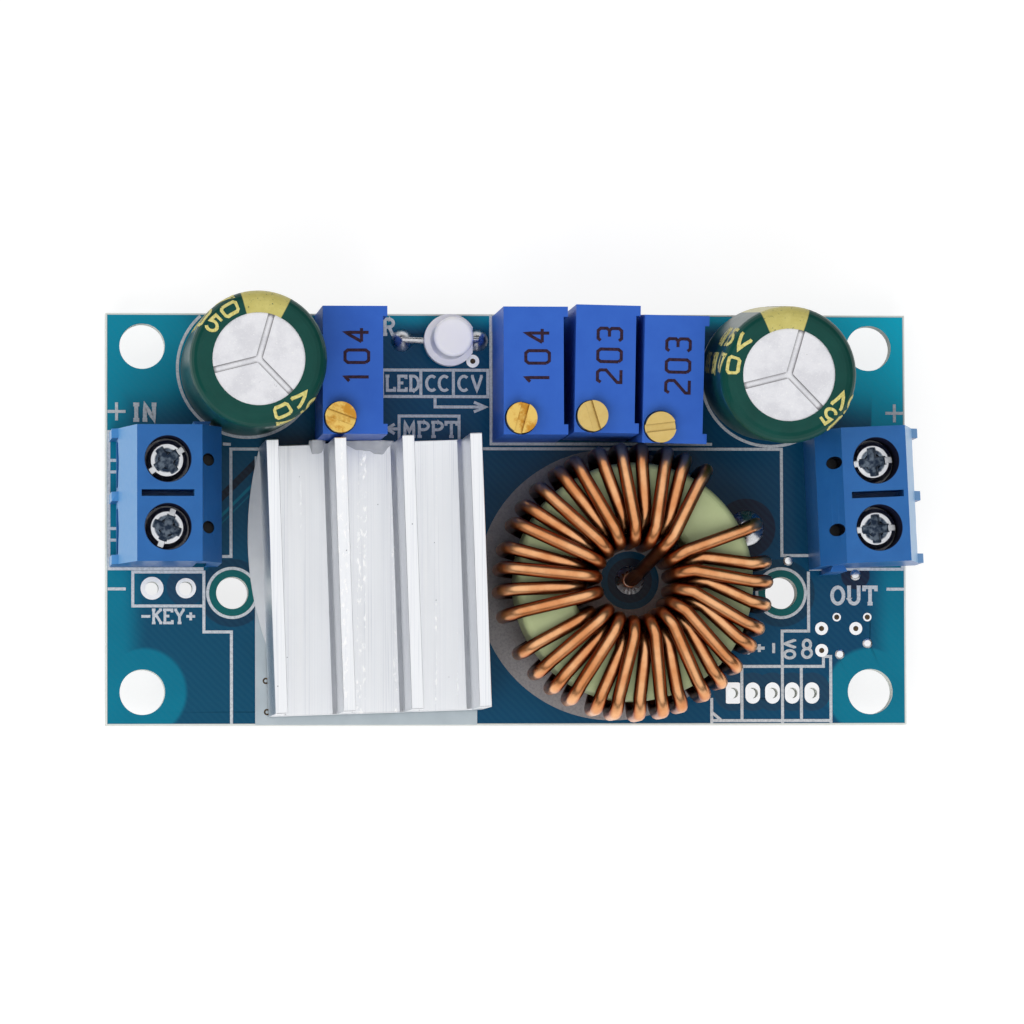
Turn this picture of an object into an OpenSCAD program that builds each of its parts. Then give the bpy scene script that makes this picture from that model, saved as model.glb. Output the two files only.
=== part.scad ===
// Solar charge controller on a bare circuit board, component side up.
// The origin is the centre of the four corner holes on the board's underside.

/* [Board] */
// Length of the board along X
board_l = 60.5; // [58:0.5:66]
// Width of the board along Y
board_w = 31; // [30.5:0.5:36]
// Thickness of the board
board_t = 1.6; // [1.2:0.1:2]
// Distance between corner holes along X
hole_spacing_x = 55; // [53:0.5:55.5]
// Distance between corner holes along Y
hole_spacing_y = 26; // [25.5:0.25:26.5]
// Diameter of a corner hole
hole_d = 3.4; // [2.5:0.1:3.6]
// Distance between the two inner holes
inner_spacing = 41.5; // [41:0.25:42]
// Diameter of an inner hole
inner_d = 2.4; // [1.5:0.1:2.6]
// Pitch of the two switch pads
key_pitch = 2.54; // [2:0.02:2.7]
// Hole in a switch pad
key_hole_d = 1; // [0.8:0.1:1.2]
// Pitch of the five output header pads
header_pitch = 1.5; // [1.3:0.1:1.6]
// Hole in a header pad
header_hole_d = 0.8; // [0.6:0.1:0.9]
// Reach of the clipped leads below the board
lead_drop = 2.5; // [2.4:0.1:3.2]
// Height of a solder fillet on a lead
solder_h = 1.1; // [0.6:0.1:1.6]

/* [Screw terminals] */
// Height of the housing
term_h = 10; // [9.5:0.1:11.5]
// Length of the housing along its row
term_len = 10.1; // [10:0.1:10.8]
// Distance between the two ways
term_pitch = 5; // [4.8:0.02:5.08]
// Depth from wire side to back
term_depth = 7.6; // [7.4:0.1:8.4]
// Distance from the wire side to the screws
term_front = 3.48; // [3.3:0.02:3.7]
// Diameter of a screw well
well_d = 3.4; // [3.2:0.05:3.7]
// Depth of the screw heads below the top
screw_sink = 1.9; // [1.6:0.1:2.2]
// Diameter of a screw head
head_d = 3; // [2.6:0.05:3]
// Height of a screw head
head_h = 1.3; // [1:0.05:1.4]
// Diameter of the screw thread
thread_d = 2.5; // [2:0.1:2.6]
// Width of a wire entry
entry_w = 3.4; // [2.8:0.1:3.6]
// Thickness of the clamp metal
clamp_t = 0.8; // [0.6:0.05:1]
// Opening between pressure plate and clamp floor
clamp_gap = 1.2; // [0.8:0.1:1.5]
// In-plane turn of the output terminal in degrees
output_turn = 2.5; // [0:0.5:3]

/* [Capacitors] */
// Diameter over the sleeve
cap_d = 10.1; // [9:0.1:10.2]
// Height of the can
cap_h = 16; // [12:0.5:20]
// Diameter of the bare disc on top
cap_disc_d = 6.8; // [5:0.1:7.4]
// Wall of the sleeve
sleeve_t = 0.15; // [0.1:0.01:0.25]
// Lead pitch
cap_pitch = 5; // [4:0.1:5.2]
// Lean of the input capacitor in degrees
input_cap_lean = 1.4; // [0:0.1:3]
// Lean of the output capacitor in degrees
output_cap_lean = 4.6; // [0:0.1:4.6]

/* [Trimmers] */
// Width of a trimmer
trim_w = 4.8; // [4.4:0.05:4.85]
// Length of a trimmer
trim_l = 9.5; // [9:0.05:9.6]
// Height of a trimmer
trim_h = 10; // [8.5:0.1:12]
// Height of the feet under it
trim_foot = 0.4; // [0.2:0.05:0.8]
// Diameter of the adjusting screw
trim_screw_d = 2.3; // [1.9:0.05:2.4]
// How far the screw stands proud
trim_screw_rise = 0.9; // [0.5:0.1:1.5]
// Depth of the long recess in one side
trim_recess = 0.32; // [0.1:0.02:0.5]
// Lean of the voltage trimmer in degrees
voltage_lean = 4.2; // [0:0.1:4.4]

/* [Indicator] */
// Diameter of the lens
led_d = 3; // [2.8:0.05:3.2]
// Diameter of the flange
led_flange_d = 3.9; // [3.6:0.05:4]
// Height from flange to top
led_h = 4.4; // [3.5:0.1:6]
// Height of the flange above the board
led_stand = 1.1; // [0.8:0.1:2]

/* [Heatsink] */
// Width across the fins
sink_w = 16; // [15:0.1:16.4]
// Length of the extrusion
sink_l = 20.3; // [18:0.1:20.6]
// Height from its underside
sink_h = 9.6; // [6:0.1:14]
// Thickness of the base
sink_base = 1.6; // [1:0.1:3]
// Thickness of a fin
fin_t = 0.9; // [0.6:0.05:1.4]
// Number of fins
fin_count = 4; // [3:1:6]
// Thickness of the adhesive
glue_t = 0.4; // [0.2:0.05:0.8]
// In-plane turn of the heatsink in degrees
sink_turn = 1.9; // [0:0.1:2.2]

/* [Inductor] */
// Outer diameter of the core
core_od = 17.8; // [17:0.1:18]
// Inner diameter of the core
core_id = 9.4; // [9:0.1:9.8]
// Height of the core
core_h = 4.8; // [4:0.1:7]
// Rounding of the core's edges
core_round = 0.6; // [0.3:0.05:0.9]
// Diameter of the wire
wire_d = 1.02; // [0.7:0.02:1.02]
// Slack of the wire round the outside of the core
wire_slack = 0.5; // [0.1:0.05:0.6]
// Number of full turns
turns = 32; // [20:1:33]

/* [Underside parts] */
// Height of the regulator
regulator_h = 2.3; // [1.6:0.1:2.35]
// Height of the diode
diode_h = 2.2; // [1.6:0.1:2.35]
// Height of the op-amp
opamp_h = 1.6; // [1.2:0.05:1.9]

/* [Hidden] */
$fn = 48;

// Small clearances
eps = 0.01;
run_gap = 0.06;
slip_gap = 0.1;
skin_gap = 0.02;

// Solder: how much wider it is than the lead at its tip and than the hole at its foot
solder_collar = 0.3;
solder_land = 1;
lean_room = 0.3;

// Holes that are bare of parts, from the board's centre
inner_y = -5.55;
key_centre = [-25.5, -5.2];
header_start = [17.05, -13.1];
header_count = 5;
corner_holes = [for (sx = [-1, 1], sy = [-1, 1]) [sx * hole_spacing_x / 2, sy * hole_spacing_y / 2]];
inner_holes = [for (sx = [-1, 1]) [sx * inner_spacing / 2, inner_y]];
key_holes = [for (s = [-0.5, 0.5]) key_centre + [s * key_pitch, 0]];
header_holes = [for (i = [0:header_count - 1]) header_start + [i * header_pitch, 0]];
via_d = 0.4;
vias = [[24.97, -7.37], [27.3, -7.37], [23.81, -8.23], [26.42, -8.23], [23.81, -9.89],
        [27.3, -9.35], [25.19, -10.18], [21.29, -3.1], [-2.58, 11.94], [-18.24, -12.16], [-18.2, -14.3]];

// Places of the screw terminals: midpoint between the two screws, and turn
input_term = [-25.98, 1.45];
output_term = [26.78, 1.42];
input_turn = 0;
output_face = 180;
way_y = [-term_pitch / 2, term_pitch / 2];
term_pin_d = 1;
term_hole_d = 1.4;

// Outline of the terminal housing, wire side first
front_run = 1.2;
front_drop = 5;
back_run = 1.58;
back_drop = 3.3;
rib_w = 0.7;
rib_out = 0.5;
rib_root = 1;
tongue_x = 2.7;
tongue_w = 1.3;
tongue_out = 0.45;
tongue_h = 6.2;
slot_l = 3.9;
slot_w = 0.5;
slot_deep = 3;
probe_x = 3.03;
probe_d = 0.9;
probe_floor = 7;
well_deep = 3.6;
term_roof = term_h - well_deep;
chamber_x = [-2.4, 3];
chamber_w = 4;
entry_floor = 0.9;
entry_z = 3.1;
funnel = 0.35;

// Clamp, plate and screw inside one way
clamp_inset = 0.2;
clamp_x = [chamber_x[0] + clamp_inset, chamber_x[1] - clamp_inset];
clamp_w = chamber_w - 2 * slip_gap;
clamp_top_t = 1.2;
plate_t = 0.5;
plate_w = 3.2;
plate_inset = 0.3;
plate_x = [clamp_x[0] + plate_inset, clamp_x[1] - clamp_t - plate_inset];
plate_z = clamp_t + clamp_gap;
spigot_d = 1.4;
head_edge = 0.3;
drive_w = 0.45;
drive_deep = 0.5;
cross_l = 2;
cross_w = 0.65;
cross_deep = 0.9;
input_positive_slot = 35;
input_negative_slot = 70;
output_positive_slot = 5;
output_negative_slot = 2;

// Capacitors: place of the base and the direction of the lean
input_cap = [-19.6, 11.3];
output_cap = [19.75, 11.05];
input_cap_dir = [0, -1];
output_cap_dir = [-0.3, -0.95];
cap_lead_d = 0.6;
cap_hole_d = 1.1;
cap_edge = 0.9;
crimp_z = 2.2;
crimp_deep = 0.5;
crimp_h = 1.3;
bung_h = 1;
can_wall = 0.2;
vent_w = 0.5;
vent_deep = 0.22;
vent_turn = 74;

// Trimmers: centre of the base, in-plane turn, lean toward -Y, and slot angle
mppt_trim = [-12.14, 10.56];
lamp_trim = [1.28, 10.55];
current_trim = [6.62, 10.68];
voltage_trim = [11.68, 10.62];
current_turn = -1.2;
voltage_turn = -1.2;
mppt_slot = -20;
lamp_slot = 75;
current_slot = 108;
voltage_slot = 8;
trim_screw_edge = [1.28, 1.2];
trim_screw_at = [trim_screw_edge[0] - trim_w / 2, trim_screw_edge[1] - trim_l / 2];
trim_bore_deep = 1.2;
trim_slot = 0.6;
trim_pin_pitch = 2.54;
trim_pin_d = 0.5;
trim_hole_d = 0.9;
trim_end = 0.75;
foot_w = 1.1;

// Indicator: centre of the lens, its two holes, and where the leads leave it
led_at = [-4.45, 13.4];
led_holes = [[-7.92, 13.5], [-2.25, 13.5]];
led_lead_pitch = 2.54;
led_lead_d = 0.5;
led_hole_d = 0.9;
led_flange_h = 1;
led_flat = 0.25;
led_edge = 0.3;
led_knee = 0.1;

// Heatsink and the bead of adhesive that squeezed out beside it
sink_x = -10.4;
sink_gap = 0.14;
sink_at = [sink_x, mppt_trim[1] - (trim_l + sink_l) / 2 - sink_gap];
sink_z = board_t + glue_t;
fin_pitch = (sink_w - fin_t) / (fin_count - 1);
fin_fillet = 0.3;
glue_inset = 0.3;
bead_r = 24.9;
bead_out = 1.1;
bead_y = 2.7;

// Inductor: centre, winding radii and heights
coil_at = [8.97, -4.95];
wire_r = wire_d / 2;
wire_gap = 0.1;
nest_ratio = 0.94;
coil_step = nest_ratio * wire_d;
coil_floor = board_t + skin_gap + wire_r;
core_z = coil_floor + coil_step + wire_r + wire_gap;
turn_r = core_round + wire_gap + wire_r;
coil_in = core_id / 2 - wire_gap - wire_r;
coil_out = core_od / 2 + wire_slack + wire_r;
coil_second = coil_in - wire_d - 2 * skin_gap;
coil_low = core_z - wire_gap - wire_r;
coil_high = core_z + core_h + wire_gap + wire_r;
first_angle = 57;
last_angle = 369.3;
uneven = 0.8;
uneven_step = 137;
turn_gap = 9;
gap_turn = 15;
first_slant = 6;
last_slant = -11;
coil_pad = [18.1, -0.65];
centre_pad = [9.25, -4.6];
coil_hole_d = 1.5;
coil_sides = 8;

// Underside parts: moulding, bends of a leg, and centres
draft_ratio = 0.12;
mark_ratio = 0.15;
mark_deep = 0.1;
leg_shoulder = 0.3;
leg_slope = 0.25;
regulator_at = [-10.4, -4.5];
diode_at = [-0.2, -10.8];
opamp_at = [3, 2.6];
reference_at = [14, 2.2];
shunt_at = [17, -8.6];
shunt_size = [6.4, 3.2, 0.7];
resistor_size = [2, 1.25, 0.5];
resistor_rows = [[-4.2, 5.6], [8.2, 5.6], [-19.6, 1.8], [13, -8.6]];
resistor_pitch = 2.1;
resistors_per_row = 3;
capacitor_size = [2, 1.25, 1];
capacitor_places = [[-1.6, 2.6], [10.6, 2.2], [-16.9, 4.6], [19.9, 3.2], [6.6, -8.2]];

// Shared shapes

// Points of an arc about a centre, in n steps
function arc(c, r, a0, a1, n) = [for (i = [0:n])
    let (a = a0 + (a1 - a0) * i / n) c + r * [cos(a), sin(a)]];

// Block between two limits on each axis
module box(x, y, z) {
    translate([x[0], y[0], z[0]]) cube([x[1] - x[0], y[1] - y[0], z[1] - z[0]]);
}

// Block centred in plan, from one height to another
module plan_box(size, z0, z1) {
    translate([-size[0] / 2, -size[1] / 2, z0]) cube([size[0], size[1], z1 - z0]);
}

// Round bar from one height to another
module bar(d, z0, z1) {
    translate([0, 0, z0]) cylinder(d = d, h = z1 - z0);
}

// Round wire through a list of points
module bent_wire(points, d) {
    for (i = [0:len(points) - 2]) {
        v = points[i + 1] - points[i];
        translate(points[i])
            rotate([0, acos(v[2] / norm(v)), atan2(v[1], v[0])])
                cylinder(d = d, h = norm(v));
    }
    for (i = [1:len(points) - 2]) translate(points[i]) sphere(d = d);
}

// Solder fillet that hangs from the underside round a lead
module fillet(lead_d, hole_d) {
    translate([0, 0, -solder_h])
        cylinder(d1 = lead_d + solder_collar, d2 = hole_d + solder_land, h = solder_h);
}

// Tilts a part by an angle toward a plan direction, about its foot
module lean(angle, dir) {
    rotate(a = angle, v = [-dir[1], dir[0], 0]) children();
}

// Circuit board

module circuit_board() color("teal") difference() {
    translate([-board_l / 2, -board_w / 2, 0]) cube([board_l, board_w, board_t]);
    drill(corner_holes, hole_d);
    drill(inner_holes, inner_d);
    drill(key_holes, key_hole_d);
    drill(header_holes, header_hole_d);
    drill(vias, via_d);
    at_input() drill_ways();
    at_output() drill_ways();
    translate(input_cap) drill(cap_leads(), cap_hole_d);
    translate(output_cap) drill(cap_leads(), cap_hole_d);
    translate(mppt_trim) drill(trim_pins(), trim_hole_d);
    translate(lamp_trim) drill(trim_pins(), trim_hole_d);
    translate(current_trim) rotate(current_turn) drill(trim_pins(), trim_hole_d);
    translate(voltage_trim) rotate(voltage_turn) drill(trim_pins(), trim_hole_d);
    drill(led_holes, led_hole_d);
    drill([coil_pad, centre_pad], coil_hole_d);
}

module drill(places, d) {
    for (p = places) translate(p) bar(d, -1, board_t + 1);
}

module drill_ways() {
    drill([for (y = way_y) [0, y]], term_hole_d);
}

function cap_leads() = [[-cap_pitch / 2, 0], [cap_pitch / 2, 0]];

function trim_pins() = [for (i = [-1:1]) [0, i * trim_pin_pitch]];

// Screw terminals, drawn with the wire side toward -X and the screws on X = 0

module at_input() translate(input_term) rotate(input_turn) children();

module at_output() translate(output_term) rotate(output_face + output_turn) children();

module on_board() translate([0, 0, board_t]) children();

term_outline = [
    [-term_front, 0],
    [-term_front, term_h - front_drop],
    [-term_front + front_run, term_h],
    [term_depth - term_front - back_run, term_h],
    [term_depth - term_front, term_h - back_drop],
    [term_depth - term_front, 0],
];

// Upright rib beside a wire entry, with a sloped top
module front_rib(y) {
    translate([-term_front, y + rib_w / 2, 0]) rotate([90, 0, 0]) linear_extrude(rib_w)
        polygon([[-rib_out, 0], [-rib_out, term_h - front_drop - rib_out],
                 [0, term_h - front_drop], [rib_root, 0]]);
}

// Dovetail that ties a housing to its neighbour in a longer row
module dovetail(grow) {
    linear_extrude(tongue_h + grow)
        polygon([[-tongue_w / 3 - grow, -eps], [tongue_w / 3 + grow, -eps],
                 [tongue_w / 2 + grow, tongue_out + grow], [-tongue_w / 2 - grow, tongue_out + grow]]);
}

module terminal_housing() color("royalblue") difference() {
    union() {
        translate([0, term_len / 2, 0]) rotate([90, 0, 0]) linear_extrude(term_len) polygon(term_outline);
        for (y = [-(term_len - rib_w) / 2, 0, (term_len - rib_w) / 2]) front_rib(y);
        translate([tongue_x, term_len / 2, 0]) dovetail(0);
    }
    translate([tongue_x, -term_len / 2, -eps]) dovetail(skin_gap);
    translate([-slot_l / 2, -slot_w / 2, term_h - slot_deep]) cube([slot_l, slot_w, slot_deep + 1]);
    for (y = way_y) translate([0, y, 0]) {
        box(chamber_x, [-chamber_w / 2, chamber_w / 2], [-1, term_roof]);
        bar(well_d, term_roof - eps, term_h + 1);
        translate([probe_x, 0, 0]) bar(probe_d, probe_floor, term_h + 1);
        wire_entry();
    }
}

module wire_entry() {
    entry_l = term_front + chamber_x[0] + eps;
    translate([-term_front - eps, 0, entry_z]) rotate([0, 90, 0]) {
        cylinder(d = entry_w, h = entry_l + eps);
        cylinder(d1 = entry_w + 2 * funnel, d2 = entry_w, h = funnel);
    }
    box([-term_front - 1, chamber_x[0] + eps], [-entry_w / 2, entry_w / 2], [entry_floor, entry_z]);
}

// Threaded clamp of one way with its pin and solder
module clamp() {
    difference() {
        box(clamp_x, [-clamp_w / 2, clamp_w / 2], [0, term_roof]);
        box([clamp_x[0] - 1, clamp_x[1] - clamp_t], [-clamp_w, clamp_w], [clamp_t, term_roof - clamp_top_t]);
        bar(thread_d + 2 * run_gap, clamp_t, term_h);
    }
    bar(term_pin_d, -board_t - lead_drop, clamp_t / 2);
    translate([0, 0, -board_t]) fillet(term_pin_d, term_hole_d);
}

module terminal_clamps() color("silver") for (y = way_y) translate([0, y, 0]) clamp();

// Clamp screw: cheese head with a slot right across and a deeper cross recess
module clamp_screw(turn) color("gainsboro") rotate(turn) {
    head_z = term_h - screw_sink - head_h;
    difference() {
        union() {
            bar(head_d, head_z, head_z + head_h - head_edge);
            translate([0, 0, head_z + head_h - head_edge])
                cylinder(d1 = head_d, d2 = head_d - 2 * head_edge, h = head_edge);
        }
        plan_box([head_d + 1, drive_w], head_z + head_h - drive_deep, term_h);
        for (size = [[cross_l, cross_w], [cross_w, cross_l]])
            plan_box(size, head_z + head_h - cross_deep, term_h);
        translate([0, 0, head_z + head_h - cross_deep])
            cylinder(d1 = cross_w, d2 = 2 * cross_w, h = cross_deep + eps);
    }
    bar(thread_d, plate_z + plate_t + run_gap, head_z + eps);
    bar(spigot_d, plate_z, plate_z + plate_t + run_gap + eps);
}

// Pressure plate that the screw pushes onto the wire
module pressure_plate() color("lightgray") difference() {
    box(plate_x, [-plate_w / 2, plate_w / 2], [plate_z, plate_z + plate_t]);
    bar(spigot_d + 2 * run_gap, 0, term_h);
}

module input_terminal_housing() on_board() at_input() terminal_housing();
module output_terminal_housing() on_board() at_output() terminal_housing();
module input_terminal_clamps() on_board() at_input() terminal_clamps();
module output_terminal_clamps() on_board() at_output() terminal_clamps();

module input_positive() on_board() at_input() translate([0, way_y[1], 0]) children();
module input_negative() on_board() at_input() translate([0, way_y[0], 0]) children();
module output_positive() on_board() at_output() translate([0, way_y[0], 0]) children();
module output_negative() on_board() at_output() translate([0, way_y[1], 0]) children();

module input_positive_screw() input_positive() clamp_screw(input_positive_slot);
module input_negative_screw() input_negative() clamp_screw(input_negative_slot);
module output_positive_screw() output_positive() clamp_screw(output_positive_slot);
module output_negative_screw() output_negative() clamp_screw(output_negative_slot);
module input_positive_plate() input_positive() pressure_plate();
module input_negative_plate() input_negative() pressure_plate();
module output_positive_plate() output_positive() pressure_plate();
module output_negative_plate() output_negative() pressure_plate();

// Capacitors, drawn upright on their own base

can_r = cap_d / 2 - sleeve_t - skin_gap;
can_z = bung_h / 2;

// Half section of the can, from the bottom edge up to the middle of the top
function can_section(r, edge) = concat(
    [[0, can_z], [r, can_z], [r, can_z + crimp_z - crimp_h / 2]],
    [[r - crimp_deep, can_z + crimp_z - crimp_h / 6], [r - crimp_deep, can_z + crimp_z + crimp_h / 6]],
    [[r, can_z + crimp_z + crimp_h / 2]],
    arc([r - edge, cap_h - edge], edge, 0, 90, 6),
    [[0, cap_h]]
);

module can() color("silver") difference() {
    rotate_extrude() polygon(can_section(can_r, cap_edge));
    for (i = [0:2]) rotate(vent_turn + 120 * i)
        translate([0, -vent_w / 2, cap_h - vent_deep]) cube([cap_disc_d / 2, vent_w, 1]);
    bar(bung_d(), -1, can_z + bung_h / 2);
}

function bung_d() = 2 * (can_r - crimp_deep - can_wall);

// Shrunk sleeve: covers the side and the rim of the top
module sleeve() color("darkgreen") {
    inner = cap_edge + skin_gap;
    outer = inner + sleeve_t;
    r_in = can_r + skin_gap;
    top = cap_h + skin_gap;
    c = [r_in - inner, top - inner];
    rotate_extrude() polygon(concat(
        [[r_in, can_z], [r_in + sleeve_t, can_z]],
        arc(c, outer, 0, 90, 6),
        [[cap_disc_d / 2, top + sleeve_t], [cap_disc_d / 2, top]],
        arc(c, inner, 90, 0, 6)
    ));
}

module bung() color("dimgray") bar(bung_d() - 2 * skin_gap, 0, can_z + bung_h / 2 - skin_gap);

module cap_pins() {
    reach = -board_t - lead_drop;
    for (p = cap_leads()) translate(p) bar(cap_lead_d, reach, 0);
}

module cap_stand(at, angle, dir) {
    translate([at[0], at[1], board_t + sin(angle) * cap_d / 2 + skin_gap]) lean(angle, dir) children();
}

// Leads lean with the can, their solder stays square to the board
module cap_lead_set(at, angle, dir) color("silver") {
    cap_stand(at, angle, dir) cap_pins();
    slip = (board_t + sin(angle) * cap_d / 2) * tan(angle);
    translate([at[0] - dir[0] * slip, at[1] - dir[1] * slip, 0])
        for (p = cap_leads()) translate(p) fillet(cap_lead_d + lean_room, cap_hole_d);
}

module input_capacitor_can() cap_stand(input_cap, input_cap_lean, input_cap_dir) can();
module input_capacitor_sleeve() cap_stand(input_cap, input_cap_lean, input_cap_dir) sleeve();
module input_capacitor_bung() cap_stand(input_cap, input_cap_lean, input_cap_dir) bung();
module input_capacitor_leads() cap_lead_set(input_cap, input_cap_lean, input_cap_dir);
module output_capacitor_can() cap_stand(output_cap, output_cap_lean, output_cap_dir) can();
module output_capacitor_sleeve() cap_stand(output_cap, output_cap_lean, output_cap_dir) sleeve();
module output_capacitor_bung() cap_stand(output_cap, output_cap_lean, output_cap_dir) bung();
module output_capacitor_leads() cap_lead_set(output_cap, output_cap_lean, output_cap_dir);

// Trimmers, drawn on the centre of their base

module trimmer_housing() color("mediumblue") difference() {
    union() {
        translate([-trim_w / 2, -trim_l / 2, trim_foot]) cube([trim_w, trim_l, trim_h - trim_foot]);
        for (s = [-1, 1]) translate([-trim_w / 2, s * (trim_l - foot_w) / 2 - foot_w / 2, 0])
            cube([trim_w, foot_w, trim_foot + eps]);
    }
    translate([trim_w / 2 - trim_recess, -trim_l / 2 + trim_end, trim_foot + trim_end])
        cube([1, trim_l - 2 * trim_end, trim_h]);
    translate(trim_screw_at) bar(trim_screw_d + 2 * run_gap, trim_h - trim_bore_deep, trim_h + 1);
}

module trimmer_screw(slot) color("goldenrod") translate(trim_screw_at) rotate(slot) difference() {
    bar(trim_screw_d, trim_h - trim_bore_deep + run_gap, trim_h + trim_screw_rise);
    plan_box([trim_w, trim_slot], trim_h + trim_screw_rise - trim_slot, trim_h + trim_screw_rise + 1);
}

// Reach of the turned base along Y, from its middle
function trim_reach(turn) = (trim_l * cos(turn) + trim_w * abs(sin(turn))) / 2;

module trimmer_stand(at, turn, angle) {
    rise = sin(angle) * trim_reach(turn);
    translate([at[0], at[1], board_t + rise]) lean(angle, [0, -1]) rotate(turn) children();
}

module trimmer_pin_set(at, turn, angle) color("silver") {
    trimmer_stand(at, turn, angle)
        for (p = trim_pins()) translate(p) bar(trim_pin_d, -board_t - lead_drop, trim_foot);
    slip = (board_t + sin(angle) * trim_reach(turn)) * tan(angle);
    translate([at[0], at[1] + slip, 0]) rotate(turn)
        for (p = trim_pins()) translate(p) fillet(trim_pin_d + lean_room, trim_hole_d);
}

module mppt_trimmer_housing() trimmer_stand(mppt_trim, 0, 0) trimmer_housing();
module lamp_trimmer_housing() trimmer_stand(lamp_trim, 0, 0) trimmer_housing();
module current_trimmer_housing() trimmer_stand(current_trim, current_turn, 0) trimmer_housing();
module voltage_trimmer_housing() trimmer_stand(voltage_trim, voltage_turn, voltage_lean) trimmer_housing();
module mppt_trimmer_screw() trimmer_stand(mppt_trim, 0, 0) trimmer_screw(mppt_slot);
module lamp_trimmer_screw() trimmer_stand(lamp_trim, 0, 0) trimmer_screw(lamp_slot);
module current_trimmer_screw() trimmer_stand(current_trim, current_turn, 0) trimmer_screw(current_slot);
module voltage_trimmer_screw()
    trimmer_stand(voltage_trim, voltage_turn, voltage_lean) trimmer_screw(voltage_slot);
module mppt_trimmer_pins() trimmer_pin_set(mppt_trim, 0, 0);
module lamp_trimmer_pins() trimmer_pin_set(lamp_trim, 0, 0);
module current_trimmer_pins() trimmer_pin_set(current_trim, current_turn, 0);
module voltage_trimmer_pins() trimmer_pin_set(voltage_trim, voltage_turn, voltage_lean);

// Indicator lamp with splayed leads

module indicator_lens() color("white") translate([led_at[0], led_at[1], board_t + led_stand]) {
    difference() {
        bar(led_flange_d, 0, led_flange_h);
        translate([led_flange_d - led_flat, 0, 0])
            plan_box([led_flange_d, led_flange_d], -1, led_flange_h + 1);
    }
    rotate_extrude() polygon(concat(
        [[0, led_flange_h - eps], [led_d / 2, led_flange_h - eps]],
        arc([led_d / 2 - led_edge, led_h - led_edge], led_edge, 0, 90, 4),
        [[0, led_h]]
    ));
}

module indicator_leads() color("silver") for (i = [0, 1]) {
    side = i == 0 ? -1 : 1;
    hole = led_holes[i];
    under = [led_at[0] + side * led_lead_pitch / 2, led_at[1]];
    knee_z = board_t + led_stand / 2;
    bent_wire([
        [under[0], under[1], board_t + led_stand],
        [under[0], under[1], knee_z + led_knee],
        [hole[0], hole[1], knee_z],
        [hole[0], hole[1], -lead_drop],
    ], led_lead_d);
    translate(hole) fillet(led_lead_d, led_hole_d);
}

// Heatsink extrusion and its adhesive

module fin_profile(x) {
    translate([x - fin_t / 2, sink_base - eps]) square([fin_t, sink_h - sink_base + eps]);
    intersection() {
        translate([x, sink_base]) polygon([[-fin_t / 2 - fin_fillet, 0], [fin_t / 2 + fin_fillet, 0],
            [fin_t / 2, fin_fillet], [-fin_t / 2, fin_fillet]]);
        translate([-sink_w / 2, 0]) square([sink_w, sink_h]);
    }
}

module heatsink() color("lightgray")
    translate([sink_at[0], sink_at[1], sink_z]) rotate(sink_turn)
        translate([0, sink_l / 2, 0]) rotate([90, 0, 0]) linear_extrude(sink_l) {
            translate([-sink_w / 2, 0]) square([sink_w, sink_base]);
            for (i = [0:fin_count - 1]) fin_profile(-(sink_w - fin_t) / 2 + i * fin_pitch);
        }

module heatsink_adhesive() color("whitesmoke")
    translate([sink_at[0], sink_at[1], board_t]) rotate(sink_turn) linear_extrude(glue_t) {
        square([sink_w - 2 * glue_inset, sink_l - 2 * glue_inset], center = true);
        intersection() {
            translate([-sink_w / 2 - bead_out + bead_r, bead_y]) circle(r = bead_r, $fn = 96);
            translate([-sink_w / 2 - 2 * bead_out, -sink_l / 2 + glue_inset])
                square([sink_w / 2, sink_l - 2 * glue_inset]);
        }
    }

// Inductor: powder core and one continuous winding

module inductor_core() color("darkseagreen") translate([coil_at[0], coil_at[1], core_z]) rotate_extrude()
    polygon(concat(
        arc([core_od / 2 - core_round, core_round], core_round, -90, 0, 5),
        arc([core_od / 2 - core_round, core_h - core_round], core_round, 0, 90, 5),
        arc([core_id / 2 + core_round, core_h - core_round], core_round, 90, 180, 5),
        arc([core_id / 2 + core_round, core_round], core_round, 180, 270, 5)
    ));

// Value for turn i on the way from the first turn to the last
function along(i, first, last) = first + (last - first) * i / (turns - 1);

// Angle of turn i outside the core, with one wider gap and the unevenness of hand winding, and inside it
function outer_angle(i) = along(i, first_angle, last_angle - turn_gap) + (i < gap_turn ? 0 : turn_gap)
    + uneven * sin(i * uneven_step);
function inner_angle(i) = outer_angle(i) - along(i, first_slant, last_slant);

// Every second turn lies on its neighbours inside the hole
function inner_r(i) = i % 2 == 1 ? coil_in : coil_second;
function inner_rise(i) = i % 2 == 1 ? 0 : coil_step;

// A point of the wire: radius, angle and height about the coil's axis
function coil_point(r, a, z) = [coil_at[0] + r * cos(a), coil_at[1] + r * sin(a), z, a];

// Rounded corner in the plane of radius and height
function corner(c_r, c_z, a0, a1, angle) =
    [for (p = arc([c_r, c_z], turn_r, a0, a1, 2)) coil_point(p[0], angle, p[1])];

function up_inside(i) = let (a = inner_angle(i), r = inner_r(i) + turn_r, s = inner_rise(i)) concat(
    corner(r, coil_low + turn_r - s, 270, 180, a),
    corner(r, coil_high - turn_r + s, 180, 90, a));

function down_outside(i) = let (a = outer_angle(i), r = coil_out - turn_r) concat(
    corner(r, coil_high - turn_r, 90, 0, a),
    corner(r, coil_low + turn_r, 0, -90, a));

start_angle = inner_angle(0);
end_offset = coil_pad - coil_at;
end_angle = atan2(end_offset[1], end_offset[0]);
end_r = norm(end_offset);
end_inner = 31.2;

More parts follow.
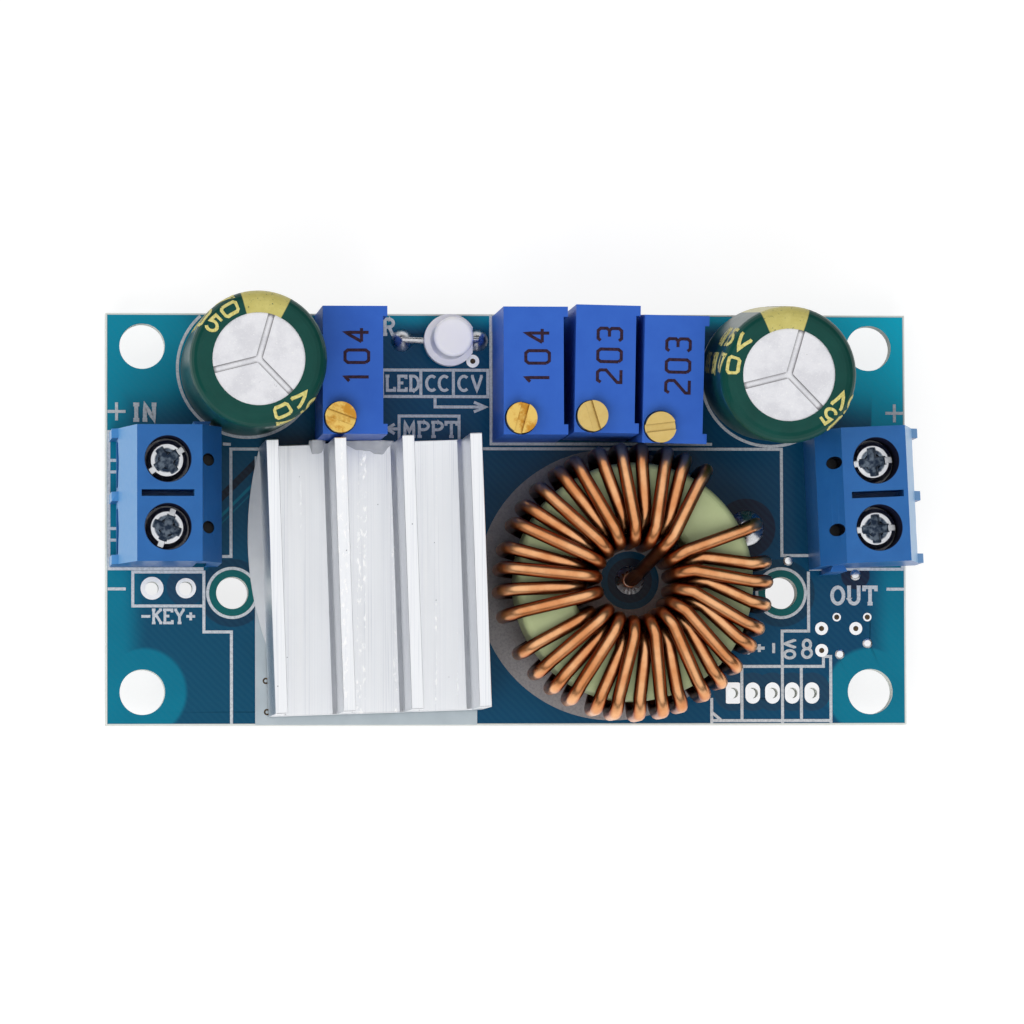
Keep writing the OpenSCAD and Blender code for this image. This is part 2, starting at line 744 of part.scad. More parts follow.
// The wire comes up through the board in the hole and ends in the outer pad
wire_path = concat(
    [[centre_pad[0], centre_pad[1], -lead_drop, start_angle]],
    [[centre_pad[0], centre_pad[1], core_z, start_angle]],
    corner(coil_second + turn_r, coil_high - turn_r + coil_step, 180, 90, start_angle),
    down_outside(0),
    [for (i = [1:turns - 1]) each concat(up_inside(i), down_outside(i))],
    corner(coil_second + turn_r, coil_low + turn_r - coil_step, 270, 180, end_inner),
    corner(coil_second + turn_r, coil_high - turn_r + coil_step, 180, 90, end_inner),
    corner(end_r - turn_r, coil_high - turn_r, 90, 0, end_angle),
    [coil_point(end_r, end_angle, -lead_drop)]
);

function xyz(p) = [p[0], p[1], p[2]];
function unit(v) = v / norm(v);
function wire_dir(i) = unit(xyz(wire_path[min(i + 1, len(wire_path) - 1)]) - xyz(wire_path[max(i - 1, 0)]));

// Ring of points square to the wire
function wire_ring(i) = let (
    t = wire_dir(i),
    a = wire_path[i][3],
    side = [-sin(a), cos(a), 0],
    u = unit(side - (side * t) * t),
    v = cross(t, u)
) [for (k = [0:coil_sides - 1])
    let (b = 360 * k / coil_sides) xyz(wire_path[i]) + wire_r * (cos(b) * u + sin(b) * v)];

module inductor_winding() color("peru") {
    n = len(wire_path);
    m = coil_sides;
    points = [for (i = [0:n - 1]) each wire_ring(i)];
    sides = [for (i = [0:n - 2], k = [0:m - 1]) let (k2 = (k + 1) % m)
        each [[i * m + k, (i + 1) * m + k, (i + 1) * m + k2], [i * m + k, (i + 1) * m + k2, i * m + k2]]];
    ends = [[for (k = [0:m - 1]) k], [for (k = [0:m - 1]) (n - 1) * m + m - 1 - k]];
    polyhedron(points, concat(sides, ends));
}

module inductor_solder() color("silver") for (p = [coil_pad, centre_pad]) translate(p) difference() {
    fillet(wire_d, coil_hole_d);
    bar(wire_d + 2 * skin_gap, -lead_drop, 1);
}

// Underside parts hang from the board's lower face

module hang(at, turn = 0) translate([at[0], at[1], 0]) rotate([180, 0, turn]) children();

// Moulded package with drafted sides and a mark beside its first leg
module package(size, z0, z1) {
    draft = draft_ratio * (z1 - z0);
    mark_d = mark_ratio * size[1];
    difference() {
        intersection() {
            translate([0, size[1] / 2, 0]) rotate([90, 0, 0])
                linear_extrude(size[1]) draft_profile(size[0], z0, z1, draft);
            translate([-size[0] / 2, 0, 0]) rotate([90, 0, 90])
                linear_extrude(size[0]) draft_profile(size[1], z0, z1, draft);
        }
        translate([mark_d - size[0] / 2 + draft, mark_d - size[1] / 2 + draft, 0])
            bar(mark_d, z1 - mark_deep, z1 + 1);
    }
}

// Section of a moulded package: widest at the parting line
module draft_profile(w, z0, z1, draft) {
    mid = (z0 + z1) / 2;
    polygon([[-w / 2 + draft, z0], [w / 2 - draft, z0], [w / 2, mid],
             [w / 2 - draft, z1], [-w / 2 + draft, z1], [-w / 2, mid]]);
}

// Bent leg: from the side of a package, down to a foot on the board
module gull_leg(w, t, side, shoulder_z, reach) {
    knee = side + leg_shoulder;
    heel = knee + leg_slope;
    translate([-w / 2, 0, 0]) rotate([90, 0, 90]) linear_extrude(w) polygon([
        [side, shoulder_z + t / 2], [knee + t / 2, shoulder_z + t / 2], [heel + t / 2, t], [reach, t],
        [reach, 0], [heel - t / 2, 0], [knee - t / 2, shoulder_z - t / 2], [side, shoulder_z - t / 2],
    ]);
}

reg_body = [6.5, 6.1];
reg_side = reg_body[1] / 2;
reg_tab = [5.4, 4.5];
reg_tab_t = 0.5;
reg_leg_w = 0.6;
reg_leg_pitch = 1.27;
reg_leg_reach = 2.6;

module regulator_body() color("dimgray") hang(regulator_at) package(reg_body, reg_tab_t, regulator_h);

module regulator_tab() color("silver") hang(regulator_at) {
    translate([0, -reg_side, 0]) plan_box(reg_tab, 0, reg_tab_t);
    for (i = [-2:2]) translate([i * reg_leg_pitch, 0, 0])
        gull_leg(reg_leg_w, reg_tab_t, reg_side, (reg_tab_t + regulator_h) / 2, reg_side + reg_leg_reach);
}

diode_body_size = [6.9, 5.9];
strap_w = 3;
strap_t = 0.3;
strap_foot = 1.4;

module diode_body() color("dimgray") hang(diode_at) package(diode_body_size, strap_t, diode_h);

// Strap folded down the end of the body and in under it
module diode_straps() color("silver") hang(diode_at) for (s = [0, 180]) rotate(s)
    translate([diode_body_size[0] / 2, strap_w / 2, 0]) rotate([90, 0, 0]) linear_extrude(strap_w) polygon([
        [0, (strap_t + diode_h) / 2], [strap_t, (strap_t + diode_h) / 2], [strap_t, 0],
        [-strap_foot, 0], [-strap_foot, strap_t], [0, strap_t],
    ]);

// Two rows of bent legs
module leg_rows(count, pitch, side, shoulder_z, reach) {
    for (turn = [0, 180], i = [0:count - 1])
        rotate(turn) translate([(i - (count - 1) / 2) * pitch, 0, 0])
            gull_leg(leg_w, leg_t, side, shoulder_z, reach);
}

leg_w = 0.42;
leg_t = 0.2;
stand_off = 0.1;
opamp_size = [4.9, 3.9];
opamp_row = 4;
opamp_pitch = 1.27;
opamp_reach = 3;
reference_size = [4.5, 2.5];
reference_h = 1.5;
reference_row = 3;
reference_pitch = 1.5;
reference_reach = 2.2;

module opamp_body() color("dimgray") hang(opamp_at) package(opamp_size, stand_off, opamp_h);
module opamp_legs() color("silver") hang(opamp_at)
    leg_rows(opamp_row, opamp_pitch, opamp_size[1] / 2, (stand_off + opamp_h) / 2, opamp_reach);
module reference_body() color("dimgray") hang(reference_at) package(reference_size, stand_off, reference_h);
module reference_legs() color("silver") hang(reference_at)
    leg_rows(reference_row, reference_pitch, reference_size[1] / 2,
             (stand_off + reference_h) / 2, reference_reach);

module shunt_resistor() color("black") hang(shunt_at, 90) plan_box(shunt_size, 0, shunt_size[2]);

module chip_resistors() color("black") for (row = resistor_rows, i = [0:resistors_per_row - 1])
    hang(row + [0, -i * resistor_pitch]) plan_box(resistor_size, 0, resistor_size[2]);

module chip_capacitors() color("tan") for (p = capacitor_places)
    hang(p, 90) plan_box(capacitor_size, 0, capacitor_size[2]);

circuit_board();
input_terminal_housing();
output_terminal_housing();
input_terminal_clamps();
output_terminal_clamps();
input_positive_screw();
input_negative_screw();
output_positive_screw();
output_negative_screw();
input_positive_plate();
input_negative_plate();
output_positive_plate();
output_negative_plate();
input_capacitor_can();
input_capacitor_sleeve();
input_capacitor_bung();
input_capacitor_leads();
output_capacitor_can();
output_capacitor_sleeve();
output_capacitor_bung();
output_capacitor_leads();
mppt_trimmer_housing();
lamp_trimmer_housing();
current_trimmer_housing();
voltage_trimmer_housing();
mppt_trimmer_screw();
lamp_trimmer_screw();
current_trimmer_screw();
voltage_trimmer_screw();
mppt_trimmer_pins();
lamp_trimmer_pins();
current_trimmer_pins();
voltage_trimmer_pins();
indicator_lens();
indicator_leads();
heatsink();
heatsink_adhesive();
inductor_core();
inductor_winding();
inductor_solder();
regulator_body();
regulator_tab();
diode_body();
diode_straps();
opamp_body();
opamp_legs();
reference_body();
reference_legs();
shunt_resistor();
chip_resistors();
chip_capacitors();
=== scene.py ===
import math

import bmesh
import bpy
from mathutils import Matrix, Vector


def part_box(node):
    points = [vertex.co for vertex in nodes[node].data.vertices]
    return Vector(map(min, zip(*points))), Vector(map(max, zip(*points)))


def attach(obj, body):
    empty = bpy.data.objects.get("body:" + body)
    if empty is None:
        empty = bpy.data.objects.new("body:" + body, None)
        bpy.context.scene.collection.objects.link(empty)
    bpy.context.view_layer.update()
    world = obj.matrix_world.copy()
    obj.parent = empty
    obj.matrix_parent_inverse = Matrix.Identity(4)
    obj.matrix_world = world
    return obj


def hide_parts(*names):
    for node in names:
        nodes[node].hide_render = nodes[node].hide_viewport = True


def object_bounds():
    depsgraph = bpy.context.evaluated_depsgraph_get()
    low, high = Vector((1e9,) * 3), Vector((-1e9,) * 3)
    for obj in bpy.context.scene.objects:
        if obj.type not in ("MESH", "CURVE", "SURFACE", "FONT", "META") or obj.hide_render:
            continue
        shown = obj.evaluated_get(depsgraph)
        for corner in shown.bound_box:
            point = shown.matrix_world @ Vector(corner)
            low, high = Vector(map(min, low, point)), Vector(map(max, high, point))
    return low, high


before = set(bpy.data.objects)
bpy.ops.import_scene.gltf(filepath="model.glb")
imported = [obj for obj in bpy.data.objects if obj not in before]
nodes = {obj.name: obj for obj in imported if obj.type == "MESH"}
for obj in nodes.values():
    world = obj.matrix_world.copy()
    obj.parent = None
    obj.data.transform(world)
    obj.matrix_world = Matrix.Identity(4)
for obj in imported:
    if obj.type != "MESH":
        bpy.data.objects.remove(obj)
cad_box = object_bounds()
scene = bpy.context.scene
scene.view_settings.view_transform = "Standard"

MM = 0.001

# Places that the marks share with the part, in millimetres
BOARD_L, BOARD_W, BOARD_T = 60.5, 31.0, 1.6
CORNER_X, CORNER_Y = 27.5, 13.0
INNER_HOLES = [(-20.75, -5.55), (20.75, -5.55)]
KEY_HOLES = [(-26.77, -5.2), (-24.23, -5.2)]
HEADER_HOLES = [(17.05 + 1.5 * i, -13.1) for i in range(5)]
COIL_AT = (8.97, -4.95)
COIL_PAD, CENTRE_PAD = (18.1, -0.65), (9.25, -4.6)
LED_PADS = [(-7.92, 13.5), (-2.25, 13.5)]
OUT_PAD = (26.41, -4.18)
INPUT_WELLS = [(-25.98, 3.95), (-25.98, -1.05)]
OUTPUT_WELLS = [(26.671, 3.918), (26.889, -1.078)]
INPUT_PROBES = [(-22.95, 3.95), (-22.95, -1.05)]
OUTPUT_PROBES = [(23.644, 3.786), (23.862, -1.21)]
WELL_R, PROBE_R = 1.7, 0.45
INPUT_CAP, OUTPUT_CAP = (-19.6, 11.3), (19.75, 11.05)

# Turns of the clamp screws' slots and of the heatsink, in degrees
SLOT_TURNS = [35, 70, 7.5, 4.5]
SINK_TURN = 1.9

# Thickness of plated copper and of printed ink
COPPER, INK = 0.03, 0.02

# The coil's core and wire, as in the part
CORE_ID, CORE_OD, CORE_H, CORE_ROUND = 9.4, 17.8, 4.8, 0.6
WIRE_R, WIRE_GAP, WIRE_SLACK = 0.51, 0.1, 0.5
SKIN_GAP, NEST_RATIO = 0.02, 0.94
WIRE_STEP = NEST_RATIO * 2 * WIRE_R
CORE_Z = BOARD_T + SKIN_GAP + WIRE_STEP + 2 * WIRE_R + WIRE_GAP


# Camera: where the photo was taken from, in millimetres and radians
CAMERA_AT = (-49.0988, -28.1901, 557.1313)
CAMERA_TURN = (0.0517059, -0.0886692, 0.00125041)
SENSOR_WIDTH, LENS = 36, 260.53


# A new object in the scene
def put(name, data):
    obj = bpy.data.objects.new(name, data)
    scene.collection.objects.link(obj)
    return obj


def add_camera():
    camera = put("camera", bpy.data.cameras.new("camera"))
    about_x, about_y, about_z = [Matrix.Rotation(angle, 4, axis) for angle, axis in zip(CAMERA_TURN, "XYZ")]
    turn = about_x @ about_y @ about_z
    camera.matrix_world = Matrix.Translation(Vector(CAMERA_AT) * MM) @ turn
    camera.data.sensor_width = SENSOR_WIDTH
    camera.data.lens = LENS
    camera.data.clip_start = 0.01
    scene.camera = camera


# Which inputs of a mix node take the factor and the two colours, and which output gives the colour
MIX_INPUTS, MIX_COLOUR = (0, 6, 7), 2


# An input of a node, named with underscores for spaces
def input_of(node, name):
    return node.inputs[name.replace("_", " ")]


# Node materials, built with short calls
class Paint:
    def __init__(self, name, **settings):
        self.material = bpy.data.materials.new(name)
        self.material.use_nodes = True
        self.tree = self.material.node_tree
        self.shader = self.tree.nodes["Principled BSDF"]
        coordinates = self.tree.nodes.new("ShaderNodeTexCoord")
        self.place = coordinates.outputs["Object"]
        self.normal = coordinates.outputs["Normal"]
        for socket, value in settings.items():
            self.set(socket, value)

    def set(self, socket, value):
        self.feed(input_of(self.shader, socket), value)

    # What already feeds an input of the shader
    def fed(self, socket):
        return input_of(self.shader, socket).links[0].from_socket

    def feed(self, target, value):
        if isinstance(value, bpy.types.NodeSocket):
            self.tree.links.new(value, target)
        elif target.type == "RGBA" and len(value) == 3:
            target.default_value = (*value, 1)
        else:
            target.default_value = value

    # A new node, with its first inputs in order. Names with a capital are inputs too, the rest are settings
    def node(self, kind, *values, **named):
        made = self.tree.nodes.new("ShaderNode" + kind)
        for name, value in named.items():
            if name[0].isupper():
                self.feed(input_of(made, name), value)
            else:
                setattr(made, name, value)
        for target, value in zip(made.inputs, values):
            self.feed(target, value)
        return made

    def math(self, operation, *values, clamp=False):
        return self.node("Math", *values, operation=operation, use_clamp=clamp).outputs[0]

    # Factors that hold where both do, and where either does
    def both(self, first, second):
        return self.math("MULTIPLY", first, second)

    def either(self, first, second):
        return self.math("MAXIMUM", first, second)

    def vector(self, operation, *values):
        made = self.node("VectorMath", *values, operation=operation)
        return made.outputs["Value" if operation in ("LENGTH", "DOT_PRODUCT") else "Vector"]

    def split(self, vector):
        return self.node("SeparateXYZ", vector).outputs

    def join(self, x, y, z):
        return self.node("CombineXYZ", x, y, z).outputs[0]

    # Position in millimetres, stretched along each axis if asked
    def spot(self, stretch=(1, 1, 1), turn=0):
        scale = [s / MM for s in stretch]
        return self.node("Mapping", self.place, Rotation=(0, 0, math.radians(turn)), Scale=scale).outputs[0]

    def noise(self, scale, detail=4, rough=0.55, spot=None):
        made = self.node("TexNoise", spot or self.spot(), Scale=scale, Detail=detail, Roughness=rough)
        return made.outputs["Fac"]

    def cells(self, scale):
        return self.node("TexVoronoi", self.spot(), Scale=scale).outputs["Distance"]

    # Smooth step from 0 to 1 between two values
    def step(self, value, low, high):
        return self.node("MapRange", value, low, high, interpolation_type="SMOOTHSTEP").outputs["Result"]

    # Band between two values, with soft sides
    def between(self, value, low, high, soft):
        above = self.step(value, low - soft, low + soft)
        return self.both(above, self.step(value, high + soft, high - soft))

    # From 0 to 1 made into another range
    def range(self, value, low, high):
        return self.node("MapRange", value, To_Min=low, To_Max=high).outputs["Result"]

    def mix(self, factor, first, second):
        made = self.node("Mix", data_type="RGBA")
        for index, value in zip(MIX_INPUTS, (factor, first, second)):
            self.feed(made.inputs[index], value)
        return made.outputs[MIX_COLOUR]

    def bump(self, height, strength, depth, under=None):
        made = self.node("Bump", Strength=strength, Distance=depth * MM, Height=height)
        if under:
            self.feed(made.inputs["Normal"], under)
        return made.outputs[0]

    # How open a place is to its surroundings, from 0 in a deep corner to 1
    def openness(self, reach):
        return self.node("AmbientOcclusion", samples=8, only_local=True, Distance=reach * MM).outputs["AO"]

    # Offset in plan from a point, and its length, in millimetres
    def offset(self, x, y, centre):
        return self.join(self.math("SUBTRACT", x, centre[0]), self.math("SUBTRACT", y, centre[1]), 0.0)

    def away(self, x, y, centre):
        return self.vector("LENGTH", self.offset(x, y, centre))


# A colour given as it shows on screen, from 0 to 255
def tint(*shown):
    shares = [value / 255 for value in shown]
    return tuple(c / 12.92 if c <= 0.04045 else ((c + 0.055) / 1.055) ** 2.4 for c in shares)


# Moulded plastic in two colours as they show: fine skin, with uneven gloss
def moulded(name, colour, shade, gloss, grain=6.0, skin=0.25, shine=0.45):
    paint = Paint(name)
    patch = paint.noise(0.6, 5)
    paint.set("Base_Color", paint.mix(patch, tint(*shade), tint(*colour)))
    paint.set("Roughness", paint.range(paint.noise(2.5, 6), gloss - 0.08, gloss + 0.1))
    paint.set("Normal", paint.bump(paint.noise(grain, 6), skin, 0.02))
    paint.set("Specular_IOR_Level", shine)
    return paint


# Bright metal: drawn or turned, with small scratches and dull patches
def metal(name, colour, shade, gloss, stretch=(1, 1, 1), scratch=0.2, turn=0):
    paint = Paint(name, Metallic=1.0)
    streaks = paint.noise(1.6, 8, 0.7, paint.spot(stretch, turn))
    smears = paint.noise(3.0, 6, 0.6, paint.spot(stretch, turn))
    paint.set("Base_Color", paint.mix(streaks, tint(*shade), tint(*colour)))
    paint.set("Roughness", paint.range(smears, gloss - 0.07, gloss + 0.12))
    paint.set("Normal", paint.bump(streaks, scratch, 0.02))
    return paint


# Gaps between the copper areas left of the heatsink: bands of y minus x, and how each shows
TRACE_GAPS = [(22.8, 23.6, tint(24, 34, 50)), (21.65, 21.95, tint(16, 116, 140)),
              (21.15, 21.3, tint(16, 104, 128))]


# Solder mask: dark over copper, teal where light passes through the bare board, pale sawn edges
def board_paint():
    paint = Paint("board_mask", Specular_IOR_Level=0.12)
    x, y = paint.split(paint.spot())[:2]
    ax, ay = paint.math("ABSOLUTE", x), paint.math("ABSOLUTE", y)
    corner = paint.away(ax, ay, (CORNER_X, CORNER_Y))
    soft_edge = paint.range(paint.step(y, -2.0, 4.0), 3.5, 6.8)
    clear = paint.math("SUBTRACT", 1.0, paint.step(corner, 3.1, soft_edge))
    clear = paint.either(clear, paint.step(ax, 27.0, 29.2))
    clear = paint.either(clear, paint.both(paint.step(x, 27.55, 27.8), paint.step(y, 5.0, 6.0)))
    clear = paint.either(clear, paint.both(paint.step(x, 21.0, 24.0), paint.step(y, 9.55, 9.75)))
    clear = paint.either(clear, paint.math("MULTIPLY", paint.step(y, 14.0, 15.3), 0.8))
    pour = paint.mix(paint.noise(0.12, 3), tint(5, 60, 94), tint(12, 80, 116))
    pour = paint.mix(paint.step(x, -8.0, -24.0), pour, tint(9, 76, 106))
    teal = paint.mix(paint.noise(0.2, 3), tint(2, 108, 136), tint(6, 128, 154))
    # Painted light: the bare board's teal is painted brighter toward the top edge (+Y) and the right (+X)
    lit = paint.both(paint.step(y, 3.0, 10.0), paint.range(paint.step(x, -10.0, 20.0), 0.25, 1.0))
    colour = paint.mix(clear, pour, paint.mix(lit, teal, tint(6, 172, 202)))
    slant = paint.math("SUBTRACT", y, x)
    near = paint.both(paint.between(x, -22.8, -18.8, 0.1), paint.step(y, 5.0, 4.8))
    for low, high, shade in TRACE_GAPS:
        colour = paint.mix(paint.both(paint.between(slant, low, high, 0.05), near), colour, shade)
    for hole in INNER_HOLES:
        away = paint.away(x, y, hole)
        colour = paint.mix(paint.step(away, 2.62, 2.5), colour, tint(18, 58, 84))
        colour = paint.mix(paint.step(away, 1.9, 1.75), colour, tint(16, 98, 98))
    for pad, reach in ((COIL_PAD, 2.3), (CENTRE_PAD, 1.75), (OUT_PAD, 1.15)):
        away = paint.away(x, y, pad)
        colour = paint.mix(paint.step(away, reach, reach - 0.12), colour, tint(28, 38, 62))
    for pad in HEADER_HOLES + KEY_HOLES[1:]:
        away = paint.away(x, y, (pad[0], pad[1] + 0.1))
        colour = paint.mix(paint.step(away, 1.5, 1.4), colour, tint(30, 66, 94))
    weave = paint.node("TexWave", paint.spot(), wave_type="BANDS", bands_direction="DIAGONAL", Scale=1.1,
                       Distortion=1.5)
    colour = paint.mix(paint.math("MULTIPLY", weave.outputs["Fac"], 0.05), colour, tint(60, 130, 150))
    facing = paint.math("ABSOLUTE", paint.split(paint.normal)[2])
    bare = paint.either(paint.step(ax, BOARD_L / 2 - 0.16, BOARD_L / 2 - 0.1),
                        paint.step(ay, BOARD_W / 2 - 0.16, BOARD_W / 2 - 0.1))
    edge = paint.either(paint.step(facing, 0.7, 0.3), bare)
    fibre = paint.noise(1.2, 8, 0.75, paint.spot((1, 1, 6)))
    colour = paint.mix(edge, colour, paint.mix(fibre, tint(212, 216, 208), tint(246, 248, 244)))
    paint.set("Base_Color", colour)
    gloss = paint.range(paint.noise(1.5, 5), 0.13, 0.24)
    paint.set("Roughness", paint.math("ADD", paint.math("MULTIPLY", edge, 0.5), gloss))
    skin = paint.bump(paint.noise(1.1, 3), 0.12, 0.03)
    paint.set("Normal", paint.bump(paint.both(fibre, edge), 0.8, 0.08, skin))
    return paint.material


# Plastic that light enters: how much of it, and how deep for red, green and blue
def milky(paint, weight, *depths):
    paint.set("Subsurface_Weight", weight)
    paint.set("Subsurface_Radius", [depth * MM for depth in depths])
    return paint.material


# Screw terminal plastic, with painted light: a painted sheen on faces turned toward the wire side, and
# painted shade in the wells and probe holes
def terminal_paint(name, wells, probes, sheen_side, pale):
    paint = moulded(name + "_terminal_plastic", (45, 110, 180), (34, 94, 160), 0.32, shine=0.3)
    x, y = paint.split(paint.spot())[:2]
    colour, gloss = paint.fed("Base_Color"), paint.fed("Roughness")
    # Painted sheen: faces turned toward the wire side are painted in the paler colour, for the glare that
    # falls on them
    facing = paint.math("MULTIPLY", paint.split(paint.normal)[0], sheen_side)
    colour = paint.mix(paint.step(facing, 0.5, 0.9), colour, pale)
    # Painted shade: the deep wells are painted near black
    for well in wells:
        inside = paint.step(paint.away(x, y, well), WELL_R + 0.06, WELL_R + 0.01)
        colour = paint.mix(inside, colour, tint(15, 19, 46))
        gloss = paint.either(gloss, paint.math("MULTIPLY", inside, 0.95))
    # Painted shade: the narrow probe holes are painted black
    for probe in probes:
        away = paint.away(x, y, probe)
        colour = paint.mix(paint.step(away, PROBE_R + 0.04, PROBE_R), colour, tint(6, 10, 22))
    paint.set("Base_Color", colour)
    paint.set("Roughness", gloss)
    return milky(paint, 0.08, 0.4, 0.6, 1.0)


# Capacitor sleeve: glossy film with a pale stripe between two bearings about the leaning axis, in degrees
def sleeve_paint(name, base, lean, stripe):
    paint = Paint(name, Coat_Weight=0.1, Coat_Roughness=0.12, Specular_IOR_Level=0.12)
    x, y, z = paint.split(paint.spot())
    local = [paint.math("SUBTRACT", paint.math("SUBTRACT", axis, centre), paint.math("MULTIPLY", z, slope))
             for axis, centre, slope in zip((x, y), base, lean)]
    bearing = paint.math("ARCTAN2", *local)
    inside = paint.between(bearing, math.radians(stripe[0]), math.radians(stripe[1]), 0.01)
    green = paint.mix(paint.noise(0.5, 4), tint(9, 58, 52), tint(18, 78, 70))
    gold = paint.mix(paint.noise(1.4, 6, 0.7), tint(180, 168, 84), tint(222, 212, 136))
    wear = paint.step(paint.noise(4.0, 8, 0.7), 0.34, 0.4)
    paint.set("Base_Color", paint.mix(paint.both(inside, wear), green, gold))
    paint.set("Roughness", paint.range(paint.noise(1.2, 5), 0.26, 0.4))
    wrinkle = paint.noise(0.9, 3, 0.5, paint.spot((1, 1, 0.25)))
    paint.set("Normal", paint.bump(wrinkle, 0.25, 0.08))
    return paint.material


# Clamp screws: bright heads, with painted shade deep in the cross recess, and darker along the slot and
# toward the middle
def screw_paint():
    paint = metal("screw_steel", (248, 249, 252), (214, 218, 224), 0.34, scratch=0.35)
    x, y, z = paint.split(paint.spot())
    bright = paint.fed("Base_Color")
    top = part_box("input_positive_screw")[1][2] / MM
    face = paint.step(z, top - 0.3, top - 0.1)
    # Painted shade: deeper than the head's face, in the cross recess, the metal is painted dark
    dark = paint.step(z, top - 0.56, top - 0.7)
    for well, slot in zip(INPUT_WELLS + OUTPUT_WELLS, SLOT_TURNS):
        along = (math.cos(math.radians(slot)), math.sin(math.radians(slot)), 0)
        offset = paint.offset(x, y, well)
        across = paint.math("ABSOLUTE", paint.vector("DOT_PRODUCT", offset, along))
        away = paint.vector("LENGTH", offset)
        # On the face: darker along the slot and toward the middle, bright only in a ring at the rim
        arm = paint.both(paint.step(across, 0.36, 0.28), paint.step(away, 1.14, 1.06))
        uneven = paint.math("ADD", away, paint.range(paint.noise(2.2, 4), -0.1, 0.1))
        marked_patch = paint.either(arm, paint.step(uneven, 0.98, 0.84))
        dark = paint.either(dark, paint.both(marked_patch, face))
    # Dark tone for the painted shade in the recess and for the darker marks on the face
    dark_tone = paint.mix(paint.step(paint.noise(2.6, 5), 0.4, 0.66), tint(40, 52, 70), tint(106, 118, 132))
    paint.set("Base_Color", paint.mix(dark, bright, dark_tone))
    return paint.material


# Brass screws: deeper and stained on the two left trimmers, pale on the others, with painted shade along the
# slot's edges
def brass_paint():
    paint = metal("trimmer_brass", (226, 200, 132), (204, 172, 98), 0.3, scratch=0.35)
    pale = paint.fed("Base_Color")
    x = paint.split(paint.spot())[0]
    dark_tone = paint.step(paint.noise(0.9, 5, 0.6), 0.46, 0.62)
    old = paint.mix(dark_tone, tint(234, 198, 110), tint(202, 144, 56))
    colour = paint.mix(paint.step(x, 4.2, 3.8), pale, old)
    # Painted shade: closed places along the slot are painted dark brown
    paint.set("Base_Color", paint.mix(paint.step(paint.openness(0.3), 0.3, 0.75), tint(96, 64, 22), colour))
    return paint.material


# Stamped can top: fine sparkling grain, dull patches, small pits, and painted shade at the groove edges
def can_paint():
    paint = metal("can_aluminium", (248, 248, 251), (230, 230, 236), 0.4, (1.5, 1.5, 1.5), 0.3)
    even = paint.fed("Base_Color")
    dull = paint.step(paint.noise(0.45, 4, 0.6), 0.42, 0.62)
    even = paint.mix(paint.math("MULTIPLY", dull, 0.4), even, tint(208, 208, 215))
    specks = paint.step(paint.noise(7.0, 6, 0.8), 0.55, 0.68)
    even = paint.mix(specks, even, (1.0, 1.0, 1.0))
    pitted = paint.step(paint.noise(0.3, 2), 0.5, 0.6)
    pits = paint.both(paint.step(paint.noise(3.4, 5, 0.7), 0.66, 0.72), pitted)
    even = paint.mix(pits, even, tint(120, 120, 128))
    # Painted shade: closed places at the groove edges are painted grey
    paint.set("Base_Color", paint.mix(paint.step(paint.openness(0.3), 0.5, 0.9), tint(150, 148, 152), even))
    return paint.material


# Extruded aluminium: fine lines along the fins, with bright nicks strung along some of them
def heatsink_paint():
    paint = metal("heatsink_aluminium", (252, 253, 255), (240, 243, 248), 0.32, (3, 0.06, 3),
                  turn=-SINK_TURN)
    even = paint.fed("Base_Color")
    drawn = paint.noise(1.2, 2, 0.5, paint.spot((5, 0.01, 5), -SINK_TURN))
    lines = paint.step(paint.math("ABSOLUTE", paint.math("SUBTRACT", drawn, 0.5)), 0.02, 0.004)
    even = paint.mix(paint.math("MULTIPLY", lines, 0.45), even, tint(206, 210, 220))
    lanes = paint.step(paint.noise(0.5, 3, 0.6, paint.spot((2.2, 0.02, 2.2), -SINK_TURN)), 0.58, 0.64)
    marked_patch = paint.step(paint.noise(2.4, 5, 0.7, paint.spot((1.6, 0.7, 1))), 0.54, 0.62)
    nicks = paint.both(lanes, marked_patch)
    colour = paint.mix(nicks, even, (1.0, 1.0, 1.0))
    pits = paint.step(paint.cells(0.55), 0.03, 0.02)
    paint.set("Base_Color", paint.mix(pits, colour, tint(140, 142, 150)))
    smoother = paint.math("MULTIPLY", nicks, 0.12)
    paint.set("Roughness", paint.math("SUBTRACT", paint.fed("Roughness"), smoother, clamp=True))
    return paint.material


